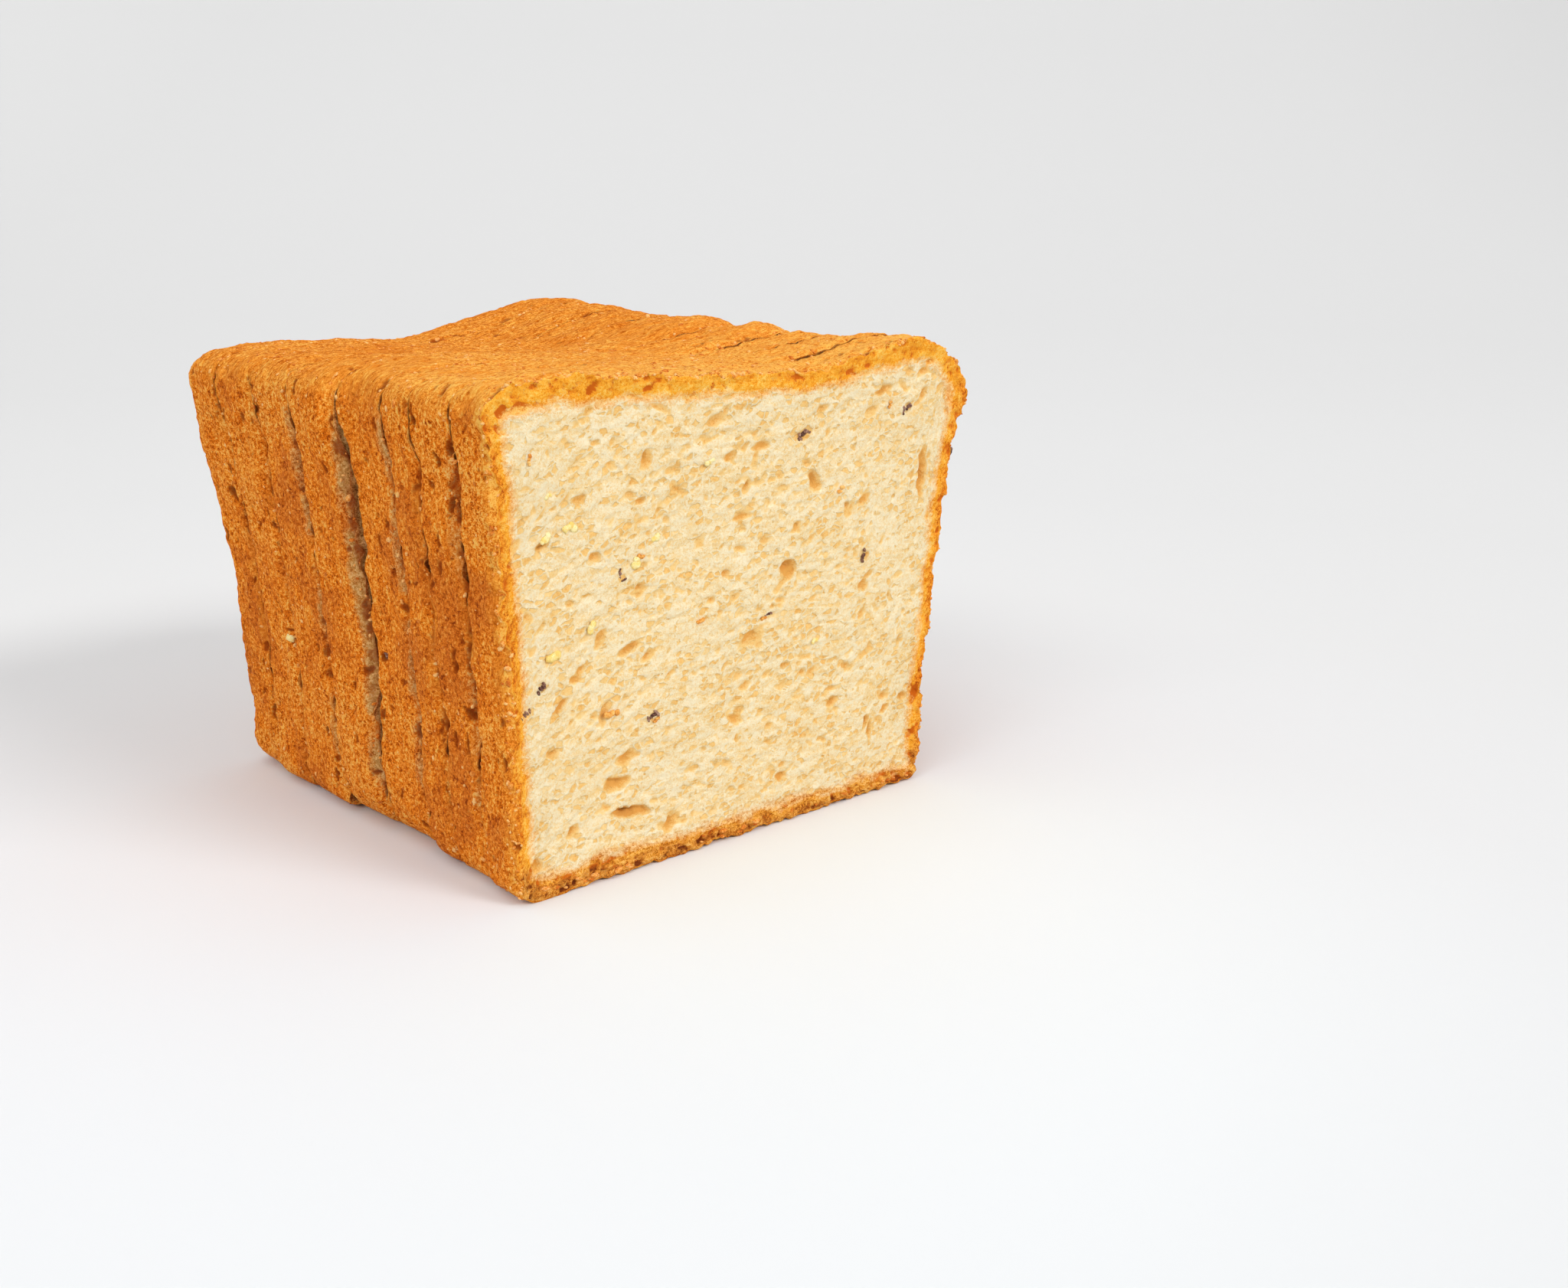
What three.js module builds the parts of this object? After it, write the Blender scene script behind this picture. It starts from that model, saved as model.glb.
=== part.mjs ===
// Tin loaf, sliced: eight slices that stand together and still keep the loaf's shape.
// Millimetres. +Z is up and +Y runs from the freshly cut front face to the baked end of the loaf.
// Every slice is one solid of its own. Its outline across the loaf is a rounded tin section,
// bent to the flared, slightly hollow sides and to the uneven crown, and it is carried along +Y
// from the cut in front of it to the cut behind it.
import * as THREE from "three";

// The tin's section. It is a little wider to the right of the middle plane than to the left.
const LOAF_HEIGHT = 100; // base to the level of the top, before the crown's rise
const BASE_LEFT = 58; // middle plane to the foot of each side
const BASE_RIGHT = 57;
const TOP_RIGHT = 69; // middle plane to the right-hand top edge
const RIGHT_HOLLOW = 2.8; // how far the right side sinks in halfway up
const TOP_RADIUS = 6.5; // rounding along the two long top edges

// The left side flares more and sinks in more towards the baked end.
const LEFT_TOP_FRONT = 63; // middle plane to the left-hand top edge, at the front
const HOLLOW_PER_FLARE = 0.36; // depth of the hollow for each millimetre of added flare

// Slices from the freshly cut front to the baked end. leftTop is the reach of the left-hand top
// edge, slide is a shift to the right, ridge and ridgeAt are the rise of the right-hand crown and
// its place as a share of the half width, and baseRadius rounds the two bottom edges.
const SLICES = [
  { thickness: 11.8, leftTop: 63.0, slide: 0.0, ridge: 4.2, ridgeAt: 0.77, baseRadius: 5.0 },
  { thickness: 11.2, leftTop: 63.6, slide: 0.2, ridge: 5.7, ridgeAt: 0.69, baseRadius: 6.0 },
  { thickness: 11.6, leftTop: 63.4, slide: -0.2, ridge: 3.9, ridgeAt: 0.66, baseRadius: 6.5 },
  { thickness: 15.7, leftTop: 64.4, slide: 0.9, ridge: 6.0, ridgeAt: 0.58, baseRadius: 8.0 },
  { thickness: 17.9, leftTop: 67.0, slide: -1.0, ridge: 7.1, ridgeAt: 0.52, baseRadius: 9.5 },
  { thickness: 16.3, leftTop: 67.3, slide: -0.3, ridge: 7.4, ridgeAt: 0.48, baseRadius: 5.5 },
  { thickness: 16.5, leftTop: 68.0, slide: -0.4, ridge: 8.2, ridgeAt: 0.46, baseRadius: 5.0 },
  { thickness: 16.0, leftTop: 68.7, slide: 0.0, ridge: 9.4, ridgeAt: 0.46, baseRadius: 6.5 },
];

// Cuts between the slices, in order: turn is about Z and lean about X, both in degrees.
const CUTS = [
  { turn: 0.3, lean: -0.4 },
  { turn: -0.4, lean: 0.3 },
  { turn: 0.5, lean: 0.5 },
  { turn: -0.5, lean: -0.3 },
  { turn: 0.4, lean: 0.6 },
  { turn: -0.2, lean: -0.5 },
  { turn: 0.3, lean: 0.2 },
];
const CUT_GAP = 0.34; // clear space left by a cut, square to the cut

// The crown across the loaf, as shares of the half width at the top, and its rises. Its lowest
// place moves from right of the middle at the front to left of the middle at the baked end.
const SHOULDER_AT = -0.72;
const SHOULDER_RISE = 0.4;
const TROUGH_AT_FRONT = 0.2;
const TROUGH_AT_END = -0.32;
const TROUGH_RISE = -0.1;
const LEFT_EDGE_RISE = -1.0; // at the long edges, before they are rounded
const RIGHT_EDGE_RISE = -3.5;

// Crust relief. Each slice swells a little between its two cuts.
const GROOVE_DEPTH = 1.3; // on the top and the sides
const FRONT_ROUNDING = 1.5; // how far the crust falls to the freshly cut edge
const GROOVE_WIDTH = 3.2; // from the cut to where the crust is at its full size
const GROOVE_KNEE = 0.4; // a place on the groove's wall, as a share of its width
const KNEE_DEPTH = 0.3; // its depth there, as a share of the groove's depth
const BASE_GROOVE = 0.5; // the groove's depth on the flat base
const THICK_SLICE = 13; // from this thickness a slice has a station halfway through it
const BULGE = { size: 0.9, cell: 24, seed: 3 }; // broad swells of the crust
const WRINKLE = { size: 0.55, cell: 8, seed: 11 }; // small lumps of the crust
const RELIEF_STARTS = 4; // height over which the relief grows from the flat base

// The baked end: rounded all round, its face slightly crowned.
const END_RADIUS = 6;
const END_CROWN = 1.6;
const END_BASE_LIFT = 0.35; // share of the rounding that also lifts the base
const END_TURNS = [0, 0.3, 0.55, 0.8, 1]; // stations round it, as shares of a right angle

// The freshly cut face.
const CRUST_BAND = 0.955; // inner edge of the crust band, as a share of the outline
const CRUMB_SINK = 0.5; // how far the soft crumb sinks behind the crust's edge
const CRUMB_SWELL = { size: 0.7, cell: 17, seed: 29 };
const FACE_RINGS = [CRUST_BAND, 0.86, 0.68, 0.46, 0.23];

// Segments of the outline.
const BASE_STEPS = 10;
const SIDE_STEPS = 15;
const TOP_STEPS = 24;
const ARC_STEPS = 4;

const radians = THREE.MathUtils.degToRad;
const lerp = THREE.MathUtils.lerp;

// A smooth step from 0 to 1 as share goes from 0 to 1.
function ease(share) {
  return THREE.MathUtils.smoothstep(share, 0, 1);
}

// A fixed pseudo-random value in -1..1 for a lattice point.
function latticeValue(i, j, k, seed) {
  const mixed = Math.sin(i * 127.1 + j * 311.7 + k * 74.7 + seed * 53.3) * 43758.5453;
  return 2 * (mixed - Math.floor(mixed)) - 1;
}

// Smooth noise in -1..1: lattice values blended over the cell that holds the point.
function noise(x, y, z, { cell, seed }) {
  const [i, j, k] = [x, y, z].map((value) => Math.floor(value / cell));
  const [u, v, w] = [x / cell - i, y / cell - j, z / cell - k].map(ease);
  const alongX = (dj, dk) =>
    lerp(latticeValue(i, j + dj, k + dk, seed), latticeValue(i + 1, j + dj, k + dk, seed), u);
  return lerp(lerp(alongX(0, 0), alongX(1, 0), v), lerp(alongX(0, 1), alongX(1, 1), v), w);
}

// Points from a to b, leaving b out.
function straight(a, b, steps) {
  return Array.from({ length: steps }, (_, i) => a.clone().lerp(b, i / steps));
}

// Points of an arc round centre, leaving its last point out. Angles are in right angles.
function arc(centre, radius, start, end) {
  return Array.from({ length: ARC_STEPS }, (_, i) => {
    const angle = (Math.PI / 2) * lerp(start, end, i / ARC_STEPS);
    return new THREE.Vector2(Math.cos(angle), Math.sin(angle)).multiplyScalar(radius).add(centre);
  });
}

// The tin section before it is bent: a rectangle from -1 to 1 across, with rounded corners,
// counter-clockwise as seen from the front, starting at the left of the base. It is laid out at
// the loaf's size, so that the roundings keep their radii, and its x is then made a share.
const SECTION_HALF = (BASE_LEFT + BASE_RIGHT + LEFT_TOP_FRONT + TOP_RIGHT) / 4;
function roundedSection(baseRadius) {
  const at = (x, z) => new THREE.Vector2(x, z);
  const w = SECTION_HALF;
  const h = LOAF_HEIGHT;
  const r = TOP_RADIUS;
  const b = baseRadius;
  return [
    ...straight(at(-w + b, 0), at(w - b, 0), BASE_STEPS),
    ...arc(at(w - b, b), b, -1, 0),
    ...straight(at(w, b), at(w, h - r), SIDE_STEPS),
    ...arc(at(w - r, h - r), r, 0, 1),
    ...straight(at(w - r, h), at(-w + r, h), TOP_STEPS),
    ...arc(at(-w + r, h - r), r, 1, 2),
    ...straight(at(-w, h - r), at(-w, b), SIDE_STEPS),
    ...arc(at(-w + b, b), b, 2, 3),
  ].map((p) => at(p.x / w, p.y));
}

// The top's height over the base at across (-1 left edge, 1 right edge) and along (0 front, 1 end).
function crownHeight(across, along, { ridge, ridgeAt }) {
  const knots = [
    [-1, LEFT_EDGE_RISE],
    [SHOULDER_AT, SHOULDER_RISE],
    [lerp(TROUGH_AT_FRONT, TROUGH_AT_END, along), TROUGH_RISE],
    [ridgeAt, ridge],
    [1, RIGHT_EDGE_RISE],
  ];
  const next = Math.max(1, knots.findIndex(([place]) => across <= place));
  const [[from, low], [to, high]] = knots.slice(next - 1, next + 1);
  return LOAF_HEIGHT + lerp(low, high, ease((across - from) / (to - from)));
}

// The reach of one side from the middle plane at a height: it flares upward and is hollow.
function reach(height, isLeft, leftTop) {
  const share = THREE.MathUtils.clamp(height / LOAF_HEIGHT, 0, 1);
  const hollow = isLeft ? HOLLOW_PER_FLARE * (leftTop - LEFT_TOP_FRONT) : RIGHT_HOLLOW;
  const [foot, top] = isLeft ? [BASE_LEFT, leftTop] : [BASE_RIGHT, TOP_RIGHT];
  return lerp(foot, top, share) - hollow * Math.sin(Math.PI * share);
}

// Bends the section to the loaf's form at one place along it.
function bentSection(slice, along) {
  return roundedSection(slice.baseRadius).map((p) => {
    const x = p.x * reach(p.y, p.x < 0, slice.leftTop) + slice.slide;
    return new THREE.Vector2(x, (p.y * crownHeight(p.x, along, slice)) / LOAF_HEIGHT);
  });
}

// The outline of one station of a slice: the bent section, moved along its own normals by the
// crust's relief and by inset, which is the groove beside a cut or the rounding of the end.
function stationOutline(slice, y, { inset, baseInset }) {
  const section = bentSection(slice, y / LOAF_LENGTH);
  return section.map((p, i) => {
    const next = section[(i + 1) % section.length];
    const before = section[(i + section.length - 1) % section.length];
    const normal = new THREE.Vector2(next.y - before.y, before.x - next.x).normalize();
    const lifted = ease(p.y / RELIEF_STARTS);
    const relief =
      BULGE.size * noise(p.x, y, p.y, BULGE) + WRINKLE.size * noise(p.x, y, p.y, WRINKLE);
    const move = lifted * relief - lerp(baseInset, inset, lifted);
    const moved = p.clone().addScaledVector(normal, move);
    return new THREE.Vector2(moved.x, Math.max(moved.y, 0));
  });
}

// Where each cut meets the loaf's length, from the front face to the baked end.
const cutPlaces = SLICES.reduce((places, slice) => [...places, places.at(-1) + slice.thickness], [0]);
const LOAF_LENGTH = cutPlaces.at(-1);

// The y of a slice's bounding surface at (x, z). side is -1 in front of the cut and 1 behind it.
function cutSurface(index, x, z, side) {
  if (index === 0 || index === SLICES.length) return cutPlaces[index];
  const { turn, lean } = CUTS[index - 1];
  const tilt = x * Math.tan(radians(turn)) + (z - LOAF_HEIGHT / 2) * Math.tan(radians(lean));
  return cutPlaces[index] + tilt + (side * CUT_GAP) / 2;
}

// Stations of a slice: share is the place between its two bounding surfaces.
function stationPlan(index) {
  const { thickness } = SLICES[index];
  const rim = { share: 0, inset: GROOVE_DEPTH, baseInset: BASE_GROOVE };
  const kneeShare = (GROOVE_WIDTH * GROOVE_KNEE) / thickness;
  const knee = { share: kneeShare, inset: GROOVE_DEPTH * KNEE_DEPTH, baseInset: 0 };
  const full = { share: GROOVE_WIDTH / thickness, inset: 0, baseInset: 0 };
  const frontRim = { share: 0, inset: FRONT_ROUNDING, baseInset: 0 };
  const nearHalf = [index === 0 ? frontRim : rim, knee, full];
  if (index === SLICES.length - 1) return [...nearHalf, ...END_TURNS.map(endStation)];
  const halfway = thickness > THICK_SLICE ? [{ share: 0.5, inset: 0, baseInset: 0 }] : [];
  const farHalf = [full, knee, rim].map((place) => ({ ...place, share: 1 - place.share }));
  return [...nearHalf, ...halfway, ...farHalf];
}

// A station of the baked end's rounding, where it has turned through turned right angles.
function endStation(turned) {
  const angle = (Math.PI / 2) * turned;
  const inset = END_RADIUS * (1 - Math.cos(angle));
  const beforeEnd = END_RADIUS * (1 - Math.sin(angle));
  return { share: 1 - beforeEnd / SLICES.at(-1).thickness, inset, baseInset: inset * END_BASE_LIFT };
}

// Adds the rings of a face inside its rim and closes it at its centre.
// shape gives the y of a face point from its x, z and share of the way out to the rim.
function closeFace(mesh, rim, shares, shape, facesFront) {
  const centre = rim.reduce((sum, p) => sum.add(p), new THREE.Vector2()).divideScalar(rim.length);
  let outer = mesh.rings.at(facesFront ? 0 : -1);
  const strip = (a, b, c) => mesh.faces.push(...(facesFront ? [a, b, c] : [a, c, b]));
  for (const share of shares) {
    const inner = rim.map((p) => {
      const q = centre.clone().lerp(p, share);
      return mesh.add(q.x, shape(q.x, q.y, share), q.y);
    });
    inner.forEach((v, i) => {
      const n = (i + 1) % inner.length;
      strip(outer[i], outer[n], inner[n]);
      strip(outer[i], inner[n], v);
    });
    outer = inner;
  }
  const middle = mesh.add(centre.x, shape(centre.x, centre.y, 0), centre.y);
  outer.forEach((v, i) => strip(v, outer[(i + 1) % outer.length], middle));
}

// One slice as a closed indexed mesh.
function sliceGeometry(index) {
  const slice = SLICES[index];
  const vertices = [];
  const mesh = {
    faces: [],
    rings: [],
    add(x, y, z) {
      vertices.push(x, y, z);
      return vertices.length / 3 - 1;
    },
  };
  const placeY = (x, z, share) =>
    lerp(cutSurface(index, x, z, 1), cutSurface(index + 1, x, z, -1), share);

  const plan = stationPlan(index);
  const outlines = plan.map((place) =>
    stationOutline(slice, placeY(0, LOAF_HEIGHT / 2, place.share), place),
  );
  outlines.forEach((points, s) => {
    mesh.rings.push(points.map((p) => mesh.add(p.x, placeY(p.x, p.y, plan[s].share), p.y)));
  });

  for (let s = 0; s + 1 < mesh.rings.length; s++) {
    const [near, far] = mesh.rings.slice(s, s + 2);
    near.forEach((v, i) => {
      const n = (i + 1) % near.length;
      mesh.faces.push(v, far[i], far[n], v, far[n], near[n]);
    });
  }

  const isFront = index === 0;
  const isEnd = index === SLICES.length - 1;
  const crumbFace = (x, z, share) => {
    const fade = ease((1 - share) / (1 - CRUST_BAND) / 2);
    return fade * (CRUMB_SINK + CRUMB_SWELL.size * noise(x, 0, z, CRUMB_SWELL));
  };
  const endFace = (x, z, share) => LOAF_LENGTH + END_CROWN * (1 - share * share);
  closeFace(
    mesh,
    outlines[0],
    isFront ? FACE_RINGS : [],
    isFront ? crumbFace : (x, z) => placeY(x, z, 0),
    true,
  );
  closeFace(
    mesh,
    outlines.at(-1),
    isEnd ? FACE_RINGS : [],
    isEnd ? endFace : (x, z) => placeY(x, z, 1),
    false,
  );

  const geometry = new THREE.BufferGeometry();
  geometry.setAttribute("position", new THREE.Float32BufferAttribute(vertices, 3));
  geometry.setIndex(mesh.faces);
  geometry.computeVertexNormals();
  return geometry;
}

const crumb = new THREE.MeshStandardMaterial({ color: 0xe9d3a4, roughness: 0.9, metalness: 0 });
const crust = new THREE.MeshStandardMaterial({ color: 0xc6772c, roughness: 0.75, metalness: 0 });

const group = new THREE.Group();
SLICES.forEach((_, index) => {
  const mesh = new THREE.Mesh(sliceGeometry(index), index === 0 ? crumb : crust);
  mesh.name = index === SLICES.length - 1 ? "end_slice" : `slice_${index + 1}`;
  group.add(mesh);
});

// The origin is the centre of the loaf's base.
const bounds = new THREE.Box3().setFromObject(group);
const middle = bounds.getCenter(new THREE.Vector3());
group.position.set(-middle.x, -middle.y, -bounds.min.z);

export default group;
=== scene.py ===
"""Tin loaf, sliced: eight standing slices with baked crust, open crumb and mixed-in flecks.

Every slice is one closed surface, worked out as whole arrays.
"""

import math
from collections import namedtuple

import bpy
import numpy as np
from mathutils import Matrix


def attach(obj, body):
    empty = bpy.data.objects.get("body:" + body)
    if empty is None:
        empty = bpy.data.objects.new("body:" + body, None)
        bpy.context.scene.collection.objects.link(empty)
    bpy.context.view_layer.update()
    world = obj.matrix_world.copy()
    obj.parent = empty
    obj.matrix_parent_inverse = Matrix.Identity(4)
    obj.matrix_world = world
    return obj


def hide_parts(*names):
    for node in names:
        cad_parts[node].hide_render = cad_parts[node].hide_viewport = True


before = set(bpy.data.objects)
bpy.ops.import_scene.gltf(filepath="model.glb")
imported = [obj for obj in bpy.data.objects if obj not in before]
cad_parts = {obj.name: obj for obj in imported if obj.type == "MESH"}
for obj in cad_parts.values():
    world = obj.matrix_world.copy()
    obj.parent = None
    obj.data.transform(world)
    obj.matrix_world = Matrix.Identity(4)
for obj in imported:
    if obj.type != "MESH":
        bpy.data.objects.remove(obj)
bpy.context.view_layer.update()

# The loaf's layout in the frame.
MIDDLE_X = -0.7475
CUT_FACE_Y = -59.2323
MM = 0.001

# The tin's section, as in the solids.
LOAF_HEIGHT = 100.0
BASE_LEFT, BASE_RIGHT = 58.0, 57.0
LEFT_TOP_FRONT, TOP_RIGHT = 63.0, 69.0
RIGHT_HOLLOW, HOLLOW_PER_FLARE = 2.8, 0.36
TOP_RADIUS = 6.5
SECTION_HALF = (BASE_LEFT + BASE_RIGHT + LEFT_TOP_FRONT + TOP_RIGHT) / 4

Slice = namedtuple("Slice", "name thickness left_top slide ridge ridge_at base_radius")
SLICES = [
    Slice("slice_1", 11.8, 63.0, 0.0, 4.2, 0.77, 5.0),
    Slice("slice_2", 11.2, 63.6, 0.2, 5.7, 0.69, 6.0),
    Slice("slice_3", 11.6, 63.4, -0.2, 3.9, 0.66, 6.5),
    Slice("slice_4", 15.7, 64.4, 0.9, 6.0, 0.58, 8.0),
    Slice("slice_5", 17.9, 67.0, -1.0, 7.1, 0.52, 9.5),
    Slice("slice_6", 16.3, 67.3, -0.3, 7.4, 0.48, 5.5),
    Slice("slice_7", 16.5, 68.0, -0.4, 8.2, 0.46, 5.0),
    Slice("end_slice", 16.0, 68.7, 0.0, 9.4, 0.46, 6.5),
]
CUT_PLACES = np.concatenate([[0.0], np.cumsum([part.thickness for part in SLICES])])
LOAF_LENGTH = CUT_PLACES[-1]

# Turn about Z and lean about X of each cut, in degrees, how open and ragged its groove is, and
# how much of the cut crumb lies bare in it.
Cut = namedtuple("Cut", "turn lean open ragged bare")
CUTS = [
    Cut(0.3, -0.4, 0.9, 1.3, 0.35),
    Cut(-0.4, 0.3, 0.7, 1.2, 0.2),
    Cut(0.5, 0.5, 0.9, 1.3, 0.6),
    Cut(-0.5, -0.3, 1.2, 0.8, 1.0),
    Cut(0.4, 0.6, 0.9, 1.4, 0.6),
    Cut(-0.2, -0.5, 0.7, 1.2, 0.2),
    Cut(0.3, 0.2, 0.6, 1.0, 0.15),
]
FRONT_EDGE = Cut(0, 0, 1.0, 0.9, 0.0)  # the front rim is rounded like one side of a cut
CUT_GAP = 0.34

# The crown across the loaf.
SHOULDER_AT, SHOULDER_RISE = -0.72, 0.4
TROUGH_AT_FRONT, TROUGH_AT_END, TROUGH_RISE = 0.2, -0.32, -0.1
LEFT_EDGE_RISE, RIGHT_EDGE_RISE = -1.0, -3.5

# Grooves at the cuts and the rounding of the two ends.
GROOVE_DEPTH, GROOVE_WIDTH, GROOVE_POWER = 1.9, 2.9, 1.8
FRONT_ROUNDING, BASE_GROOVE = 1.5, 1.5
# A groove's depth on the top, left and right of the ridge, as a share of that on the sides.
TOP_GROOVE, RIDGE_GROOVE = 0.22, 0.5
BLEND_OVER = 4.5  # how far from a cut a slice's form turns into the mean of both
SIDE_STEP = {4: 0.24}  # share of the neighbour's form at the sides of a cut, where not a half
SIDE_STEP_UP_TO, SIDE_STEP_OVER = 78, 20  # height from which that share goes back to a half
END_RADIUS, END_CROWN, END_BASE_LIFT = 6.0, 1.6, 0.35
END_RINGS = 22
RELIEF_STARTS = 4.0  # height at which the crust's relief is full

# The cut face: how far the crumb lies behind the crust's edge, and how soon it gets there.
CRUMB_SINK, SINK_OVER = 0.5, 5.5

# Points round a slice: across the base or the top, and up a side. Both divide by COARSE.
ACROSS, UP = 252, 200
COARSE = 4
FACE_MARGIN = 7.0  # from the outline to the even grid in the middle of a face
FRONT_BAND_ROWS, END_BAND_ROWS = 13, 9
HIDDEN_BANDS = (0.06, 0.13, 0.22, 0.35, 0.52, 0.75)  # shares of the way from the rim to the grid
# Steps between a slice's rings, in its middle and within NEAR_CUT of a cut.
ROW_STEP, GROOVE_STEP, NEAR_CUT = 0.42, 0.27, 2.0
FRONT_ROW_STEP, FRONT_GROOVE_STEP = 0.5, 0.4


def ease(share):
    """Smooth step: 3 s^2 - 2 s^3 of the share, held to 0..1."""
    s = np.clip(share, 0.0, 1.0)
    return s * s * (3 - 2 * s)


def lerp(a, b, share):
    """The value at a share of the way from a to b."""
    return a + (b - a) * share


def grows(value, start, over):
    """0 up to a start value, then a smooth step up to 1 over a stretch."""
    return ease((value - start) / over)


def fades(distance, over):
    """1 at no distance, then a smooth step down to 0 over a stretch."""
    return ease(1 - distance / over)


def lattice_value(i, j, k, seed):
    """Fixed pseudo-random value in -1..1 of a lattice point: the fraction of a large sine."""
    mixed = np.sin(i * 127.1 + j * 311.7 + k * 74.7 + seed * 53.3) * 43758.5453
    return 2 * (mixed - np.floor(mixed)) - 1


def noise(x, y, z, cell, seed):
    """Lattice values blended with the smooth step over the cell that holds each point."""
    places = [np.asarray(v, float) / c for v, c in zip((x, y, z), np.broadcast_to(cell, 3))]
    i, j, k = (np.floor(p) for p in places)
    u, v, w = (ease(p - f) for p, f in zip(places, (i, j, k)))

    def along_x(dj, dk):
        low = lattice_value(i, j + dj, k + dk, seed)
        return lerp(low, lattice_value(i + 1, j + dj, k + dk, seed), u)

    return lerp(lerp(along_x(0, 0), along_x(1, 0), v), lerp(along_x(0, 1), along_x(1, 1), v), w)


def rough(x, y, z, cell, seed):
    """Noise, and a second one half as wide and half as strong."""
    cell = np.asarray(cell, float)
    return sum(noise(x, y, z, cell / 2**o, seed + 7 * o) / 2**o for o in (0, 1))


def layered(x, y, z, layers, start=0.0):
    """A start value plus noises; each layer is a strength in mm, a cell in mm and a seed."""
    return sum((strength * noise(x, y, z, cell, seed) for strength, cell, seed in layers), start)


SWELLS = [(0.9, 24, 3), (0.55, 8, 11)]
FIBRES = [(0.16, (6.0, 1.2, 1), 41), (0.13, (2.4, 0.9, 1), 43)]
UNEVENNESS = [(0.22, 3.1, 17), (0.16, 1.5, 19)]
GRIT = [(0.15, 0.85, 23)]
WRINKLES = [(0.42, (15.0, 2.6, 1), 47)]
CRUMBLY_RIM = [(0.5, 1.7, 45), (0.36, 0.85, 46)]
CRUMBLY_FACE = [(0.36, 1.5, 78), (0.28, 0.8, 79)]
RAGGED_GOLD = [(1.3, 4.5, 63), (0.8, 1.7, 64)]
TORN_BASE = [(0.5, 4.5, 91), (0.4, 1.4, 92)]
THREADS = [(0.18, (3.6, 1, 1.1), 75), (0.14, (1.7, 1, 0.65), 76)]
LEVEL_TEARS = [(0.9, (5, 1, 1.0), 82), (0.5, (1.6, 1, 0.7), 83)]
END_UNEVENNESS = [(0.22, 3.1, 17), (0.14, 1.3, 19)]


# ---------------------------------------------------------------- the tin's section


def arc(centre, radius, start, end, steps=40):
    """Points of an arc about centre; the angles are in degrees."""
    angle = np.radians(np.linspace(start, end, steps))
    return np.array(centre) + radius * np.stack([np.cos(angle), np.sin(angle)], -1)


def spread(path, count):
    """Points at even distances along a path, leaving its end out."""
    travelled = np.concatenate([[0.0], np.cumsum(np.hypot(*np.diff(path, axis=0).T))])
    places = np.linspace(0.0, travelled[-1], count, endpoint=False)
    return np.stack([np.interp(places, travelled, path[:, axis]) for axis in (0, 1)], -1)


def section_ring(base_radius):
    """The rounded rectangle of the tin, counter-clockwise from the lower left, as (x, height).

    Each of its four runs goes from the middle of one rounded corner to the middle of the next,
    with its points at even distances.
    """
    w, h, b, r = SECTION_HALF, LOAF_HEIGHT, base_radius, TOP_RADIUS
    low_left, low_right = (-w + b, b), (w - b, b)
    top_right, top_left = (w - r, h - r), (-w + r, h - r)
    runs = [
        ((low_left, b, 225, 270), (low_right, b, 270, 315), ACROSS),
        ((low_right, b, 315, 360), (top_right, r, 0, 45), UP),
        ((top_right, r, 45, 90), (top_left, r, 90, 135), ACROSS),
        ((top_left, r, 135, 180), (low_left, b, 180, 225), UP),
    ]
    return np.concatenate([spread(np.concatenate([arc(*a), arc(*b)]), n) for a, b, n in runs])


def inner_ring():
    """The square-cornered ring FACE_MARGIN inside the section, its points in the same order."""
    w, low, high = SECTION_HALF - FACE_MARGIN, FACE_MARGIN, LOAF_HEIGHT - FACE_MARGIN
    corners = np.array([(-w, low), (w, low), (w, high), (-w, high), (-w, low)])
    return np.concatenate([spread(corners[k : k + 2], n) for k, n in enumerate((ACROSS, UP) * 2)])


def inner_grid(across, up):
    """The even grid bounded by the inner ring: rows go up, columns go right."""
    x = np.linspace(-1, 1, across + 1) * (SECTION_HALF - FACE_MARGIN)
    z = np.linspace(FACE_MARGIN, LOAF_HEIGHT - FACE_MARGIN, up + 1)
    return np.stack(np.meshgrid(x, z), -1)


def depth_inside(section, base_radius):
    """Distance from the section's outline inwards: that of a rectangle with rounded corners."""
    x, z = np.abs(section[..., 0]), np.abs(section[..., 1] - LOAF_HEIGHT / 2)
    radius = np.where(section[..., 1] > LOAF_HEIGHT / 2, TOP_RADIUS, base_radius)
    over_x, over_z = x - (SECTION_HALF - radius), z - (LOAF_HEIGHT / 2 - radius)
    outside = np.hypot(np.maximum(over_x, 0), np.maximum(over_z, 0))
    return np.maximum(radius - outside - np.minimum(np.maximum(over_x, over_z), 0), 0)


def reach(height, left, part):
    """Half width at a height: it flares evenly upward, less a sine-shaped hollow."""
    share = np.clip(height / LOAF_HEIGHT, 0, 1)
    foot, top = np.where(left, BASE_LEFT, BASE_RIGHT), np.where(left, part.left_top, TOP_RIGHT)
    hollow = np.where(left, HOLLOW_PER_FLARE * (part.left_top - LEFT_TOP_FRONT), RIGHT_HOLLOW)
    return lerp(foot, top, share) - hollow * np.sin(np.pi * share)


def crown_height(across, along, part):
    """Height of the top: smooth steps between the crown's knots, from the left edge on."""
    trough_at = lerp(TROUGH_AT_FRONT, TROUGH_AT_END, along)
    places = [-1.0, SHOULDER_AT, trough_at, part.ridge_at, 1.0]
    rises = [LEFT_EDGE_RISE, SHOULDER_RISE, TROUGH_RISE, part.ridge, RIGHT_EDGE_RISE]
    height = LOAF_HEIGHT + rises[0]
    for k in range(4):
        share = (across - places[k]) / (places[k + 1] - places[k])
        height = height + (rises[k + 1] - rises[k]) * ease(share)
    return height


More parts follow.
